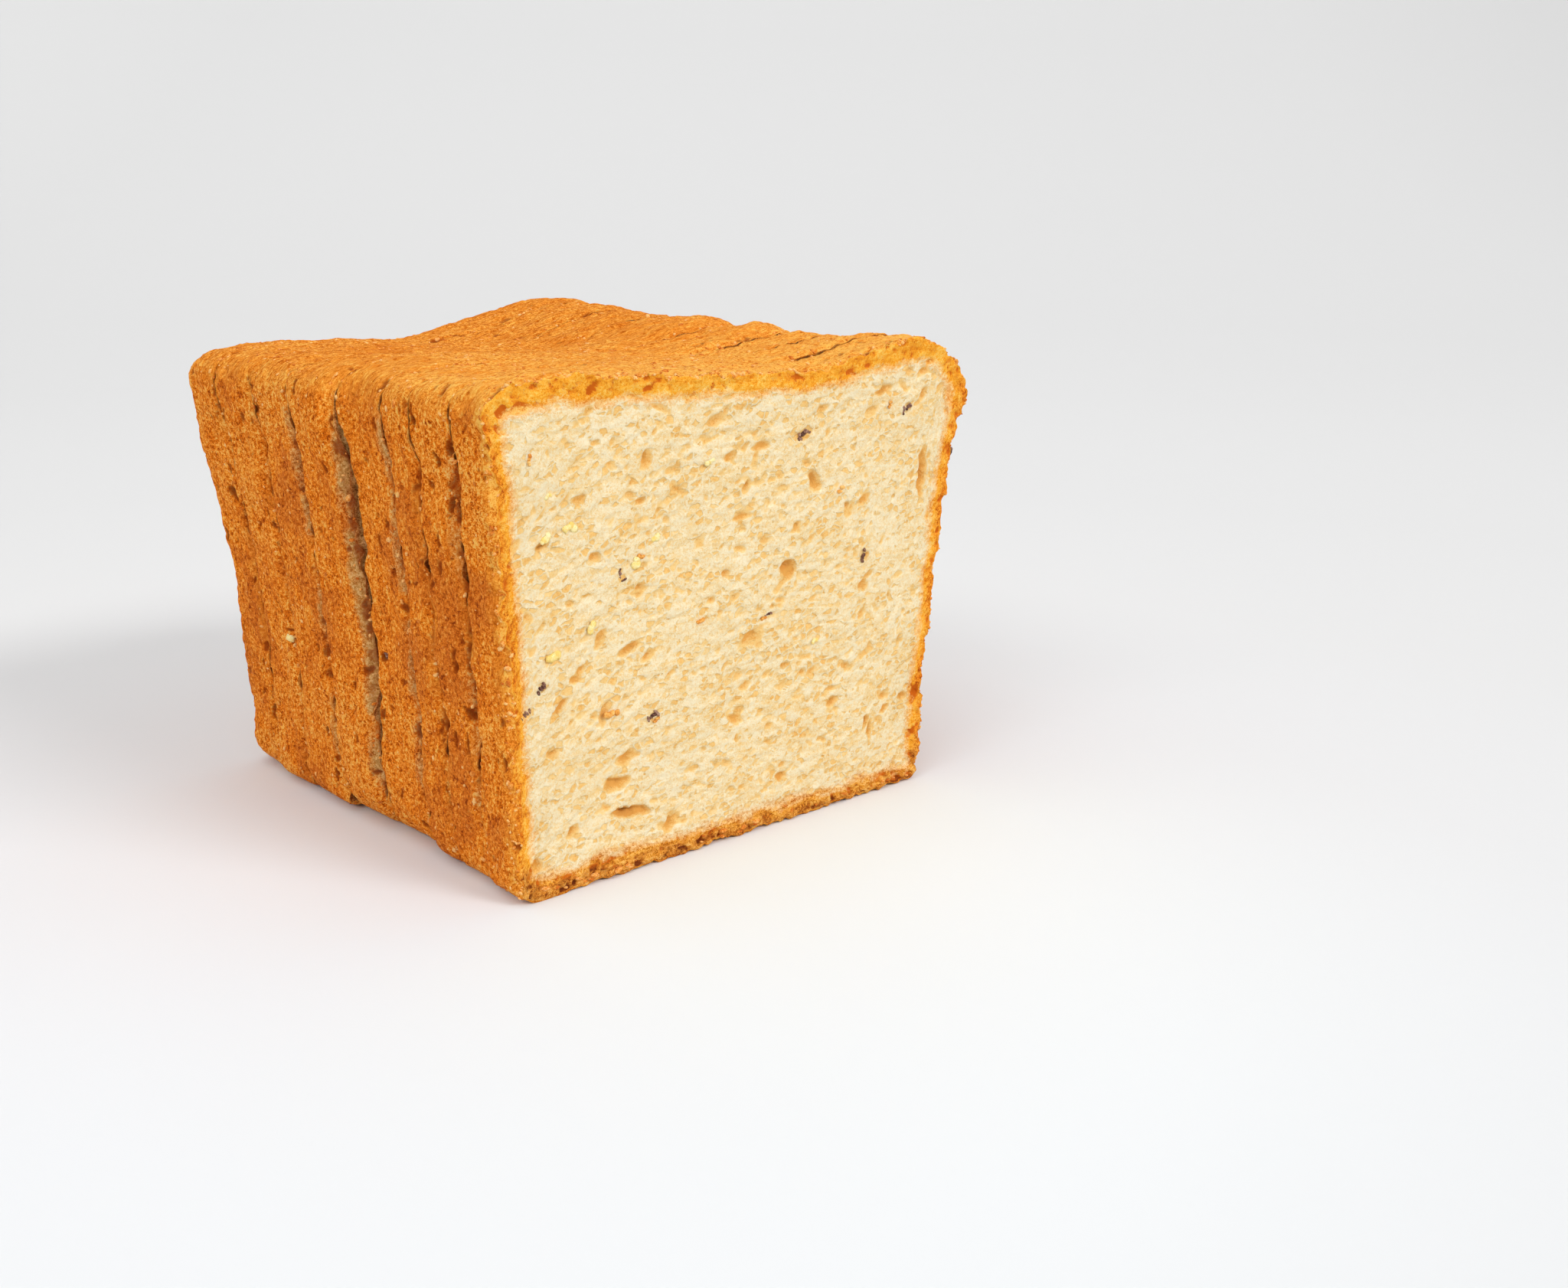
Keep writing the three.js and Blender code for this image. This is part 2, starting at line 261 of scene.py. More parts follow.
def bend(section, part, along):
    """Gives the section its flared, hollow sides and its crown at one place along the loaf."""
    across, height = section[..., 0] / SECTION_HALF, section[..., 1]
    x = across * reach(height, across < 0, part) + part.slide
    z = height * crown_height(across, along, part) / LOAF_HEIGHT
    return np.stack(np.broadcast_arrays(x, z), -1)


def outward(ring):
    """Unit normals of closed rings of (x, z) points that run counter-clockwise."""
    chord = np.roll(ring, -1, axis=-2) - np.roll(ring, 1, axis=-2)
    normal = np.stack([chord[..., 1], -chord[..., 0]], -1)
    return normal / np.linalg.norm(normal, axis=-1, keepdims=True)


def cut_plane(index, x, z, side):
    """y of a slice's bounding plane; side is -1 in front of the cut and 1 behind it."""
    if index in (0, len(SLICES)):
        return np.full(np.shape(x), CUT_PLACES[index])
    turn, lean = (math.tan(math.radians(a)) for a in CUTS[index - 1][:2])
    return CUT_PLACES[index] + x * turn + (z - LOAF_HEIGHT / 2) * lean + side * CUT_GAP / 2


# ---------------------------------------------------------------- stamped height fields


class Field:
    """A height field on even cells, with bowls stamped into it and smooth look-up."""

    def __init__(self, low, high, cell):
        self.low, self.cell = np.array(low, float), cell
        counts = np.ceil((np.array(high) - self.low) / cell).astype(int) + 1
        self.values = np.zeros(counts)

    def stamp(self, centre, radii, angle, depth, power=1.0):
        """A bowl of depth (1 - q)^power, q being the squared distance in radii; the deeper
        of two bowls counts where they overlap."""
        reach_cells = int(max(radii) / self.cell) + 2
        at = (np.array(centre) - self.low) / self.cell
        low = np.maximum(np.floor(at).astype(int) - reach_cells, 0)
        high = np.minimum(np.floor(at).astype(int) + reach_cells + 1, self.values.shape)
        if (low >= high).any():
            return
        u = (np.arange(low[0], high[0]) - at[0])[:, None] * self.cell
        v = (np.arange(low[1], high[1]) - at[1])[None, :] * self.cell
        c, s = math.cos(angle), math.sin(angle)
        q = ((u * c + v * s) / radii[0]) ** 2 + ((v * c - u * s) / radii[1]) ** 2
        window = self.values[low[0] : high[0], low[1] : high[1]]
        np.maximum(window, depth * np.clip(1 - q, 0, 1) ** power, out=window)

    def at(self, u, v):
        """Values at points, blended over the four cells round each."""
        places = [(np.asarray(p) - l) / self.cell for p, l in zip((u, v), self.low)]
        i, j = (
            np.clip(np.floor(p).astype(int), 0, n - 2) for p, n in zip(places, self.values.shape)
        )
        f, g = (np.clip(p - k, 0, 1) for p, k in zip(places, (i, j)))
        near = lerp(self.values[i, j], self.values[i + 1, j], f)
        return lerp(near, lerp(self.values[i, j + 1], self.values[i + 1, j + 1], f), g)


# Which way the crumb's strands run on the cut face: x, z, angle in degrees, and its reach.
STRANDS = [
    (-57, 50, 88, 6), (-57, 80, 85, 6), (-56, 20, 95, 6), (63, 80, 98, 6), (60, 50, 97, 7),
    (57, 20, 92, 6), (-30, 4, 2, 8), (0, 4, 0, 8), (35, 4, 2, 8), (-40, 94, 6, 8), (0, 93, 2, 8),
    (40, 92, 8, 8), (-35, 80, 15, 14), (-10, 78, 19, 14), (12, 84, 14, 12), (32, 78, 22, 12),
    (46, 70, 55, 9), (-40, 62, 24, 12), (-15, 60, 14, 14), (10, 66, 16, 12), (30, 60, 12, 12),
    (15, 50, 8, 14), (35, 42, 14, 14), (-42, 40, 45, 12), (-20, 44, 6, 14), (5, 36, 5, 14),
    (30, 26, -8, 14), (-38, 22, 14, 12), (-15, 24, -6, 14), (10, 20, -10, 14), (44, 30, 55, 8),
]


def strand_angle(x, z):
    """Mean of the strands' directions, weighted by the nearness of each; a direction and its
    opposite are the same, so the doubled angles are averaged."""
    c, s = 0.0, 1e-6
    for at_x, at_z, angle, spread_mm in STRANDS:
        apart = (x - at_x) ** 2 + (z - at_z) ** 2
        weight = np.exp(-apart / (2 * (spread_mm * 1.3) ** 2)) + 1e-9
        c = c + weight * math.cos(2 * math.radians(angle))
        s = s + weight * math.sin(2 * math.radians(angle))
    return np.arctan2(s, c) / 2


# Large pores of the cut face: x, z, length, width, angle in degrees, depth.
LARGE_PORES = [
    (12.9, 56.9, 4.6, 4.2, 0, 2.6), (20.0, 75.6, 5.4, 3.4, 120, 1.9), (0.8, 76.2, 3.6, 2.2, 40, 1.4),
    (-25.6, 83.9, 4.8, 2.4, 50, 1.5), (14.5, 66.0, 3.8, 2.0, 35, 1.2), (29.8, 68.8, 3.4, 2.0, 120, 1.3),
    (-27.4, 58.5, 4.2, 1.8, 20, 1.3), (2.1, 43.6, 9.0, 3.6, 12, 1.2), (26.5, 24.8, 4.4, 2.6, 30, 1.8),
    (39.1, 15.4, 6.4, 1.8, 90, 1.7), (37.2, 17.5, 3.8, 2.2, 70, 1.6), (-26.0, 44.4, 4.0, 2.2, 10, 1.3),
    (-31.1, 24.3, 6.0, 2.6, 15, 1.9), (-33.5, 19.4, 6.6, 3.2, 5, 2.0), (-20.5, 7.7, 4.6, 2.4, 20, 1.7),
    (-53.2, 7.6, 2.4, 3.4, 0, 1.8), (-44.5, 12.1, 3.6, 2.2, 40, 1.4), (-48.5, 28.9, 3.4, 2.4, 20, 1.3),
    (-30.4, 12.6, 9.5, 2.2, 170, 3.4), (53.8, 73.9, 13.0, 2.3, 83, 2.6), (17.0, 85.7, 4.4, 2.2, 20, 1.2),
    (-12.0, 66.0, 3.4, 1.8, 20, 1.1), (36.0, 57.0, 2.4, 1.4, 80, 1.1), (44.0, 47.0, 3.0, 1.4, 80, 1.1),
]

# Kinds of bubble: how many, the middle of their half widths, how much they vary, the widest,
# how drawn out they are, and their depth as a share of the half width.
Bubbles = namedtuple("Bubbles", "count middle variety widest stretch deepness")
BUBBLES = [
    Bubbles(8000, 0.45, 0.25, 0.8, (1.0, 2.4), 0.32),
    Bubbles(3400, 0.38, 0.25, 0.6, (1.0, 2.2), 1.0),
    Bubbles(520, 0.6, 0.35, 1.3, (1.2, 3.0), 1.0),
]
DEEPEST_BUBBLE, SMALLEST_BUBBLE = 1.3, 0.26
FACE_LOW, FACE_HIGH, FACE_CELL = (-70.0, -2.0), (76.0, 110.0), 0.22


def crumb_field(rng):
    """Bubbles cut through by the knife: bowls that lie along the strands.

    Shallow dimples lie everywhere, small and middling pores in patches among them, and a few
    large pores have a second, deeper bowl to their upper right.
    """
    field = Field(FACE_LOW, FACE_HIGH, FACE_CELL)
    for kind in BUBBLES:
        x, z = rng.uniform(-66, 72, kind.count), rng.uniform(0, 105, kind.count)
        size = rng.lognormal(math.log(kind.middle), kind.variety, kind.count)
        size = np.clip(size * (1 + 0.35 * noise(x, 0, z, 12, 5)), SMALLEST_BUBBLE, kind.widest)
        stretch = rng.uniform(*kind.stretch, kind.count)
        angle = strand_angle(x, z) + rng.normal(0, 0.35, kind.count)
        depth = size * rng.uniform(0.6, 1.3, kind.count) * kind.deepness
        for u, v, wide, long, turn, deep in zip(x, z, size, stretch, angle, depth):
            field.stamp((u, v), (wide * long, wide), turn, min(deep, DEEPEST_BUBBLE), 0.8)
    for at_x, at_z, length, width, turn, deep in LARGE_PORES:
        turn = math.radians(turn)
        field.stamp((at_x, at_z), (length * 0.55, width * 0.55), turn, deep * 0.6, 0.6)
        inner = (at_x - 0.08 * width, at_z + 0.14 * width)
        field.stamp(inner, (length * 0.34, width * 0.32), turn, deep * 1.1, 0.9)
    return field


# ---------------------------------------------------------------- the crust


RING_LENGTH = 430.0  # round the section, for everything that is laid out along it


def ring_run(section):
    """Distance travelled round the section at each of its points, scaled to RING_LENGTH."""
    steps = np.linalg.norm(np.roll(section, -1, axis=0) - section, axis=-1)
    travelled = np.concatenate([[0.0], np.cumsum(steps)])
    return travelled[:-1] * RING_LENGTH / travelled[-1]


# Pits on the left side: y, height, radius along y, radius up, depth.
SIDE_PITS = [
    (64.0, 96.2, 0.9, 2.2, 1.6), (22.0, 93.8, 0.6, 1.9, 1.3), (12.3, 88.2, 0.8, 1.6, 1.2),
    (15.5, 86.0, 0.7, 1.2, 1.0), (46.7, 40.5, 0.9, 1.3, 1.1), (27.5, 60.3, 1.4, 0.5, 0.6),
    (31.0, 59.5, 1.6, 0.5, 0.6), (13.1, 78.0, 0.5, 2.0, 0.9), (16.9, 70.8, 0.5, 1.8, 0.9),
    (86.4, 39.4, 1.4, 0.6, 0.7), (70.0, 74.0, 0.9, 0.9, 0.7), (38.0, 70.5, 0.7, 1.2, 0.8),
]

# Tears in the top, most of them beside the front rim: x, y, length, width, depth.
TOP_TEARS = [
    (-11.0, 1.9, 5.5, 0.8, 1.3), (-1.0, 2.4, 4.5, 1.0, 1.4), (-18.5, 1.7, 1.8, 0.8, 1.0),
    (12.5, 1.8, 2.4, 0.7, 1.0), (38.0, 2.2, 5.0, 0.7, 1.0), (-35.0, 2.3, 3.0, 0.7, 0.9),
    (-48.0, 2.8, 2.0, 1.0, 1.1), (-3.0, 62.0, 9.0, 0.8, 1.0), (18.0, 38.0, 7.0, 0.7, 1.0),
]

# Kinds of pit: how many, the middle of their half widths, how much they vary, the least and the
# widest, how drawn out round the loaf they are, and how much they turn.
Pits = namedtuple("Pits", "count middle variety least widest stretch turn")
SCATTERED = Pits(1800, 0.42, 0.4, 0.25, 1.1, (0.9, 2.2), 0.2)
AT_CUTS = Pits(1500, 0.44, 0.45, 0.22, 1.1, (0.9, 2.6), 0.15)


def pit_sizes(kind, rng):
    sizes = rng.lognormal(math.log(kind.middle), kind.variety, kind.count)
    return np.clip(sizes, kind.least, kind.widest)


def stamp_pits(field, kind, run, y, size, depth, rng):
    for u, v, wide, stretch, deep in zip(run, y, size, rng.uniform(*kind.stretch, kind.count), depth):
        field.stamp((u, v), (wide * stretch, wide), rng.normal(0, kind.turn), deep)


def crust_field(rng):
    """Pits in the crust over (run, y): scattered ones, more of them along the cuts, and the large
    ones and tears at their own places."""
    field = Field((-2.0, -2.0), (RING_LENGTH + 2.0, LOAF_LENGTH + 4.0), 0.25)
    run = rng.uniform(0, RING_LENGTH, SCATTERED.count)
    y = rng.uniform(0, LOAF_LENGTH, SCATTERED.count)
    size = pit_sizes(SCATTERED, rng)
    depth = size * rng.uniform(0.5, 1.1, SCATTERED.count)
    stamp_pits(field, SCATTERED, run, y, size, depth, rng)
    run = rng.uniform(0, RING_LENGTH, AT_CUTS.count)
    cut = rng.integers(0, len(CUTS) + 1, AT_CUTS.count)
    y = CUT_PLACES[cut] + rng.normal(0.4, 1.4, AT_CUTS.count)
    size = pit_sizes(AT_CUTS, rng)
    stamp_pits(field, AT_CUTS, run, y, size, size * 0.9, rng)
    ring = section_ring(6.0)
    runs = ring_run(ring)
    for at_y, height, wide, tall, deep in SIDE_PITS:
        at_run = np.interp(-height, -ring[-UP:, 1], runs[-UP:])
        field.stamp((at_run, at_y), (tall, wide), 0.0, deep, 0.8)
    top = ring[:, 1] > LOAF_HEIGHT - 0.5
    places, runs = ring[top, 0], runs[top]
    for at_x, at_y, length, width, deep in TOP_TEARS:
        at_run = np.interp(at_x, np.sort(places), runs[np.argsort(places)])
        field.stamp((at_run, at_y), (length / 2, width / 2), 0.0, deep, 0.6)
    return field


# Dips in the right-hand ridge of the top: y, depth, half length.
RIDGE_DIPS = [(75.5, 2.0, 4.5), (50.0, 2.0, 4.0), (36.0, 1.3, 3.2), (19.0, 2.3, 4.0)]


def crust_relief(x, y, z, run):
    """The crust's lumps: broad swells and wrinkles as in the solids, then fibres that run round
    the loaf and fine unevenness."""
    ridge = grows(x, 22, 22) * grows(z, 92, 8)
    dips = sum(depth * np.exp(-(((y - at) / half) ** 2)) for at, depth, half in RIDGE_DIPS)
    wrinkles = layered(run, y, 0, WRINKLES) * grows(x, -5, 30) * grows(z, 92, 6)
    lumps = layered(x, y, z, SWELLS) + layered(run, y, 0, FIBRES) + layered(x, y, z, UNEVENNESS)
    return lumps + layered(x, y, z, GRIT) + wrinkles - dips * ridge


def groove(distance, run, x, height, cut, strength):
    """How far the crust falls beside a cut: a curve that steepens towards it, uneven in depth and
    shallower over the shoulders and the top."""
    uneven = 0.8 + cut.ragged * (0.4 * noise(run, 0, 0, 9.0, 51) + 0.4 * noise(run, 0, 0, 2.7, 52))
    ridge = grows(x, 12, 30)
    width = GROOVE_WIDTH * (0.9 + 0.35 * noise(run, 0, 0, 4.0, 53))
    width = width * (1 + 1.1 * ridge * grows(height, 86, 10))
    share = np.clip(1 - distance / width, 0, 1)
    top_share = lerp(TOP_GROOVE, RIDGE_GROOVE, ridge)
    share = share**GROOVE_POWER * lerp(1.0, top_share, grows(height, 80, 14))
    return strength * cut.open * np.clip(uneven, 0.15, 2.0) * share


# ---------------------------------------------------------------- closed surfaces


def place_in_scene(name, data):
    """An object that shows the data, at the origin."""
    made = bpy.data.objects.new(name, data)
    bpy.context.collection.objects.link(made)
    return made


# Values per point for the materials: pit and hollow carry painted shade in pits, grooves, dents and
# pores, bevel marks bare crumb painted in shade colours, and on the flecks hollow is a random tone.
SHADES = ("crumb_depth", "hollow", "pit", "bevel", "golden")


class Shell:
    """Grows one closed mesh from blocks of points and the faces between them."""

    def __init__(self):
        self.points, self.faces, self.finishes, self.count = [], [], [], 0
        self.shades = {name: [] for name in SHADES}
        self.wraps, self.flows = [], []

    def add(self, x, y, z, wrap=None, flow=None, **shades):
        """Adds a block of points and gives their numbers, in the block's own shape."""
        x, y, z = np.broadcast_arrays(x, y, z)
        self.points.append(np.stack([x + MIDDLE_X, y + CUT_FACE_Y, z], -1).reshape(-1, 3) * MM)
        for name in SHADES:
            value = np.broadcast_to(shades.get(name, 0.0), x.shape)
            self.shades[name].append(value.reshape(-1))
        empty = (np.zeros(x.shape), np.zeros(x.shape))
        for store, pair in ((self.wraps, wrap), (self.flows, flow)):
            u, v = (np.broadcast_to(p, x.shape).reshape(-1) for p in (pair or empty))
            store.append(np.stack([u, v, np.zeros_like(u)], -1))
        first = self.count
        self.count += x.size
        return np.arange(first, self.count).reshape(x.shape)

    def face(self, *corners, finish=0):
        """Faces through arrays of point numbers, three or four to a face."""
        faces = np.stack([np.broadcast_to(c, corners[0].shape).reshape(-1) for c in corners], -1)
        self.faces += faces.tolist()
        self.finishes.append(np.full(len(faces), finish))

    def tube(self, rings, finish=0):
        """Quads between closed rings, one to a row."""
        near, far = rings[:-1], rings[1:]
        self.face(near, far, np.roll(far, -1, 1), np.roll(near, -1, 1), finish=finish)

    def sheet(self, grid, flip, finish=0):
        """Quads of a grid whose rows go up and whose columns go right."""
        a, b, c, d = grid[:-1, :-1], grid[:-1, 1:], grid[1:, 1:], grid[1:, :-1]
        self.face(*((a, d, c, b) if flip else (a, b, c, d)), finish=finish)

    def thin_out(self, outer, inner, flip, finish=0):
        """Triangles between a ring and one with a whole number of times fewer points."""
        ratio = len(outer) // len(inner)
        owner = (np.arange(len(outer)) + ratio // 2) // ratio % len(inner)
        step = owner != np.roll(owner, 1)
        ends = np.roll(outer, -1)
        fans = [outer, ends, inner[owner]]
        gaps = [outer[step], inner[owner[step]], inner[np.roll(owner, 1)[step]]]
        for triangle in (fans, gaps):
            self.face(*(triangle[::-1] if flip else triangle), finish=finish)

    def finish(self, name, materials):
        """Puts the arrays into a mesh object that stands at the origin."""
        mesh = bpy.data.meshes.new(name)
        mesh.from_pydata(np.concatenate(self.points), [], self.faces, shade_flat=False)
        for key, blocks in self.shades.items():
            store = mesh.attributes.new(key, "FLOAT", "POINT")
            store.data.foreach_set("value", np.concatenate(blocks).astype(np.float32))
        for key, blocks in (("wrap", self.wraps), ("flow", self.flows)):
            store = mesh.attributes.new(key, "FLOAT_VECTOR", "POINT")
            store.data.foreach_set("vector", np.concatenate(blocks).astype(np.float32).ravel())
        mesh.polygons.foreach_set("material_index", np.concatenate(self.finishes))
        for material in materials:
            mesh.materials.append(material)
        mesh.update()
        return place_in_scene(name, mesh)


def rows_of(thickness, near_step=GROOVE_STEP, far_step=ROW_STEP):
    """Places from 0 to the thickness, closer together beside both cuts."""
    half, place = [0.0], 0.0
    while place < thickness / 2:
        place += near_step if place < NEAR_CUT else far_step
        half.append(place)
    half = np.array(half) * (thickness / 2 / half[-1])
    return np.concatenate([half, thickness - half[-2::-1]])


def band_shares(count):
    """Even shares of the way from a rim to the grid in the middle, without the two ends."""
    return (np.arange(count) + 1) / (count + 1)


def close_face(shell, rim, index, side, surface, coarse, shares, finish):
    """Closes a slice: rows of points from its rim to an even grid in the middle.

    surface gives y and the shades at (x, z, depth inside). The rim's own shift fades inwards.
    """
    part, flip = SLICES[index], side > 0
    section = section_ring(part.base_radius)
    along = CUT_PLACES[index + flip] / LOAF_LENGTH
    shift = rim["ring"] - bend(section, part, along)
    outer = rim["numbers"]

    def surface_numbers(row, place):
        x, z = place[..., 0], place[..., 1]
        y, shades = surface(x, z, depth_inside(row, part.base_radius))
        return shell.add(x, y, z, **shades)

    def join_ring(ring):
        shell.tube(np.stack([outer, ring] if flip else [ring, outer]), finish)

    for share in shares:
        row = lerp(section, inner_ring(), share)
        numbers = surface_numbers(row, bend(row, part, along) + shift * (1 - share) ** 1.5)
        join_ring(numbers)
        outer = numbers
    grid = inner_grid(ACROSS // coarse, UP // coarse)
    numbers = surface_numbers(grid, bend(grid, part, along))
    edge = [numbers[0, :-1], numbers[:-1, -1], numbers[-1, :0:-1], numbers[:0:-1, 0]]
    edge = np.concatenate(edge)
    if coarse == 1:
        join_ring(edge)
    else:
        shell.thin_out(outer, edge, flip, finish)
    shell.sheet(numbers, flip, finish)


def slice_rows(index):
    """Places of a slice's rings behind its front cut, and how far the end's rounding has turned
    at each."""
    thickness = SLICES[index].thickness
    rows = rows_of(thickness, *((FRONT_GROOVE_STEP, FRONT_ROW_STEP) if index == 0 else ()))
    if index < len(SLICES) - 1:
        return rows, np.zeros(len(rows))
    flat = thickness - END_RADIUS
    rows = rows[rows < flat]
    turns = np.linspace(0, math.pi / 2, END_RINGS)
    rounded = flat + END_RADIUS * np.sin(turns)
    return np.concatenate([rows, rounded]), np.concatenate([np.zeros(len(rows)), turns])


def blended_rings(index, section, y, from_front, from_back):
    """The slice's own form, which turns into the mean of it and its neighbour's at each cut."""
    bent = bend(section, SLICES[index], y / LOAF_LENGTH)
    for step, distance in ((-1, from_front), (1, from_back)):
        if 0 <= index + step < len(SLICES):
            other = bend(section, SLICES[index + step], y / LOAF_LENGTH)
            at_side = SIDE_STEP.get(index + (step > 0), 0.5)
            pull = lerp(at_side, 0.5, grows(section[..., 1], SIDE_STEP_UP_TO, SIDE_STEP_OVER))
            pull = pull * fades(distance, BLEND_OVER)
            bent = lerp(bent, other, pull[..., None])
    return bent


def crust_shades(index, place, run, from_front, from_back, in_groove, pit):
    """How golden, pitted and bare of crust a slice's sides are, with painted shade in pits and grooves.
    """
    x, y, z = place
    is_front = index == 0
    bare = (FRONT_EDGE if is_front else CUTS[index - 1]).bare
    ragged = layered(x, y, z, RAGGED_GOLD)
    rim_gold = 0.85 * fades(from_front + ragged, 4.2) * is_front
    edge_gold = fades(from_front + ragged, 2.4) + fades(from_back + ragged, 2.4)
    edge_gold = 0.5 * edge_gold * ease(0.5 + noise(run, 0, 0, 13.0, 65 + index))
    golden = np.clip(grows(z, 91.5, 7) + rim_gold + edge_gold, 0, 1)
    patchy = ease(0.5 + bare * 0.6 + 0.8 * noise(run, 0, 0, 7.0, 55 + index))
    side_only = ease((94 - z) / 6) * grows(z, 4, 14)
    # Where bare crumb shows in the groove; the materials paint it in shade colours.
    bevel = fades(from_front + 0.5 * ragged, 3.0) * bare * patchy * side_only
    # Painted shade along the deepest part of each groove, handed on with the pits.
    shade = grows(in_groove, 0.45, 1.0) * side_only
    shade = shade * np.clip(0.45 + 0.75 * noise(x, y, z, 2.2, 67), 0, 1)
    return {"pit": np.clip(pit / 0.8 + 0.6 * shade, 0, 1), "bevel": bevel, "golden": golden}


def slice_sides(shell, index, pits):
    """The crust of a slice from cut to cut, and its two rims."""
    is_end, is_front = index == len(SLICES) - 1, index == 0
    part = SLICES[index]
    rows, turned = slice_rows(index)
    section = section_ring(part.base_radius)[None]
    run = ring_run(section[0])[None, :]
    from_front, from_back = rows[:, None], part.thickness - rows[:, None]
    share, middle = (rows / part.thickness)[:, None], (0.0, LOAF_HEIGHT / 2)
    y = lerp(cut_plane(index, *middle, 1), cut_plane(index + 1, *middle, -1), share)
    bent = blended_rings(index, section, y, from_front, from_back)
    x, z = bent[..., 0], bent[..., 1]
    cut, fall = (FRONT_EDGE, FRONT_ROUNDING) if is_front else (CUTS[index - 1], GROOVE_DEPTH)
    front_groove = groove(from_front, run, x, z, cut, fall)
    back_groove = 0.0 if is_end else groove(from_back, run + 200, x, z, CUTS[index], GROOVE_DEPTH)
    end_round = END_RADIUS * (1 - np.cos(turned))[:, None]
    inset = front_groove + back_groove + end_round
    in_groove = front_groove * (not is_front) + back_groove
    base_inset = (BASE_GROOVE / GROOVE_DEPTH) * in_groove + END_BASE_LIFT * end_round
    if is_front:
        base_inset = base_inset + ragged_base(run, from_front)
    shaken = [layered(x, y, z, [(0.75, 1.7, 57 + k), (0.35, 0.8, 59 + k)]) for k in (0, 1)]
    # Pit depth: it sinks the surface, and as the pit attribute it is painted shade in the colour.
    pit = pits.at(run + shaken[0], y + shaken[1]) * lerp(1.0, 0.6, grows(z, 91, 6))
    lifted = ease(z / RELIEF_STARTS)
    relief = crust_relief(x, np.broadcast_to(y, x.shape), z, np.broadcast_to(run, x.shape))
    move = lifted * (relief - pit) - lerp(base_inset, inset, lifted) - (1 - lifted) * 0.6 * pit
    if is_front:
        move = move + lifted * layered(x, y, z, CRUMBLY_RIM) * fades(from_front, 3.5)
    moved = bent + outward(bent) * move[..., None]
    x, z = moved[..., 0], np.maximum(moved[..., 1], 0.0)
    y = lerp(cut_plane(index, x, z, 1), cut_plane(index + 1, x, z, -1), share)
    y = y + torn_edge(z, run, from_front, index) * (not is_front)
    y = y - torn_edge(z, run, from_back, index + 40) * (not is_end)
    shades = crust_shades(index, (x, y, z), run, from_front, from_back, in_groove, pit)
    numbers = shell.add(x, y, z, wrap=(run * MM, y * MM), **shades)
    shell.tube(numbers)
    shell.outside = np.stack([x, y, z], -1)
    rings = np.stack([x, z], -1)
    return [{"numbers": numbers[k], "ring": rings[k]} for k in (0, -1)]


def ragged_base(run, distance):
    """How far the base's front edge is torn up: never below the base, and gone 2.5 mm back."""
    return np.clip(layered(run, 0, 0, TORN_BASE, 0.45), 0, 1.3) * fades(distance, 2.5)


def torn_edge(z, run, distance, seed):
    """How far a cut's edge is torn back: uneven along the cut and gone 2 mm away from it. Where
    it is below nought the two edges come together."""
    ragged = layered(run, 0, 0, [(0.42, 5.3, seed + 61), (0.34, 1.5, seed + 62)]) - 0.2
    ragged = ragged - 0.3 * grows(z, 92, 6)
    return np.clip(ragged, -0.45 * CUT_GAP, 0.8) * fades(distance, 2.0)


def front_surface(crumb):
    """The freshly cut face: sunk crumb, its pores, and the harder crust round it."""

    def surface(x, z, inside):
        warp = [layered(x, 0, z, [(0.5, 2.3, k), (0.26, 0.9, k + 1)]) for k in (71, 73)]
        pores = crumb.at(x + warp[0], z + warp[1])
        soft, bottom = grows(inside, 0.5, 4.5), ease((9 - z) / 4)
        sink = ease(inside / SINK_OVER) * (CRUMB_SINK + 0.7 * noise(x, 0, z, 17, 29))
        angle = strand_angle(x, z)
        c, s = np.cos(angle), np.sin(angle)
        strands = layered(x * c + z * s, 0, z * c - x * s, THREADS)
        crumbly = layered(x, 0, z, CRUMBLY_FACE)
        y = sink + pores * lerp(0.4, 0.8, soft) + strands * soft
        y = y + 0.1 * rough(x, 0, z, 1.5, 77) - 0.2 * (1 - ease(inside / 1.2))
        y = y + crumbly * (1 - soft) * (1 + 0.9 * bottom)
        level = layered(x, 0, z, LEVEL_TEARS)
        uneven = 0.5 * noise(x, 0, z, 3.4, 81) + bottom * (level + 0.5 * crumbly)
        # How deep the hollows are; the crumb material paints them tan as painted shade.
        hollow = (pores + 0.9 * strands) * lerp(0.3, 1.0, soft)
        return y, {
            "crumb_depth": inside + (0.4 + 0.012 * x) * bottom + uneven,
            "hollow": hollow + 0.9 * np.maximum(crumbly, 0) * (1 - soft),
            "flow": (np.cos(2 * angle), np.sin(2 * angle)),
            "golden": lerp(0.8 + 0.2 * grows(z, 92, 5), 0.35, bottom),
        }

    return surface


def hidden_surface(index, side):
    """A cut between two slices: nearly flat, with the crumb's soft swells sunk into it."""

    def surface(x, z, inside):
        swell = 0.5 + 0.5 * rough(x, 0, z, 9, 80 + 2 * index + (side > 0))
        fine = 0.5 + 0.5 * rough(x, 0, z, 1.6, 83 + index)
        sunk = side * (0.4 * swell + 0.45 * fine) * ease(inside / 2)
        return cut_plane(index, x, z, side) + sunk, {
            "crumb_depth": inside + 0.9 * noise(x, 0, z, 3.0, 85 + index),
            "hollow": 0.35 * fine,
            "flow": (1.0, 0.3),
            # Share painted as bare crumb in shade colours.
            "bevel": max(CUTS[index - 1].bare, 0.12),
        }

    return surface


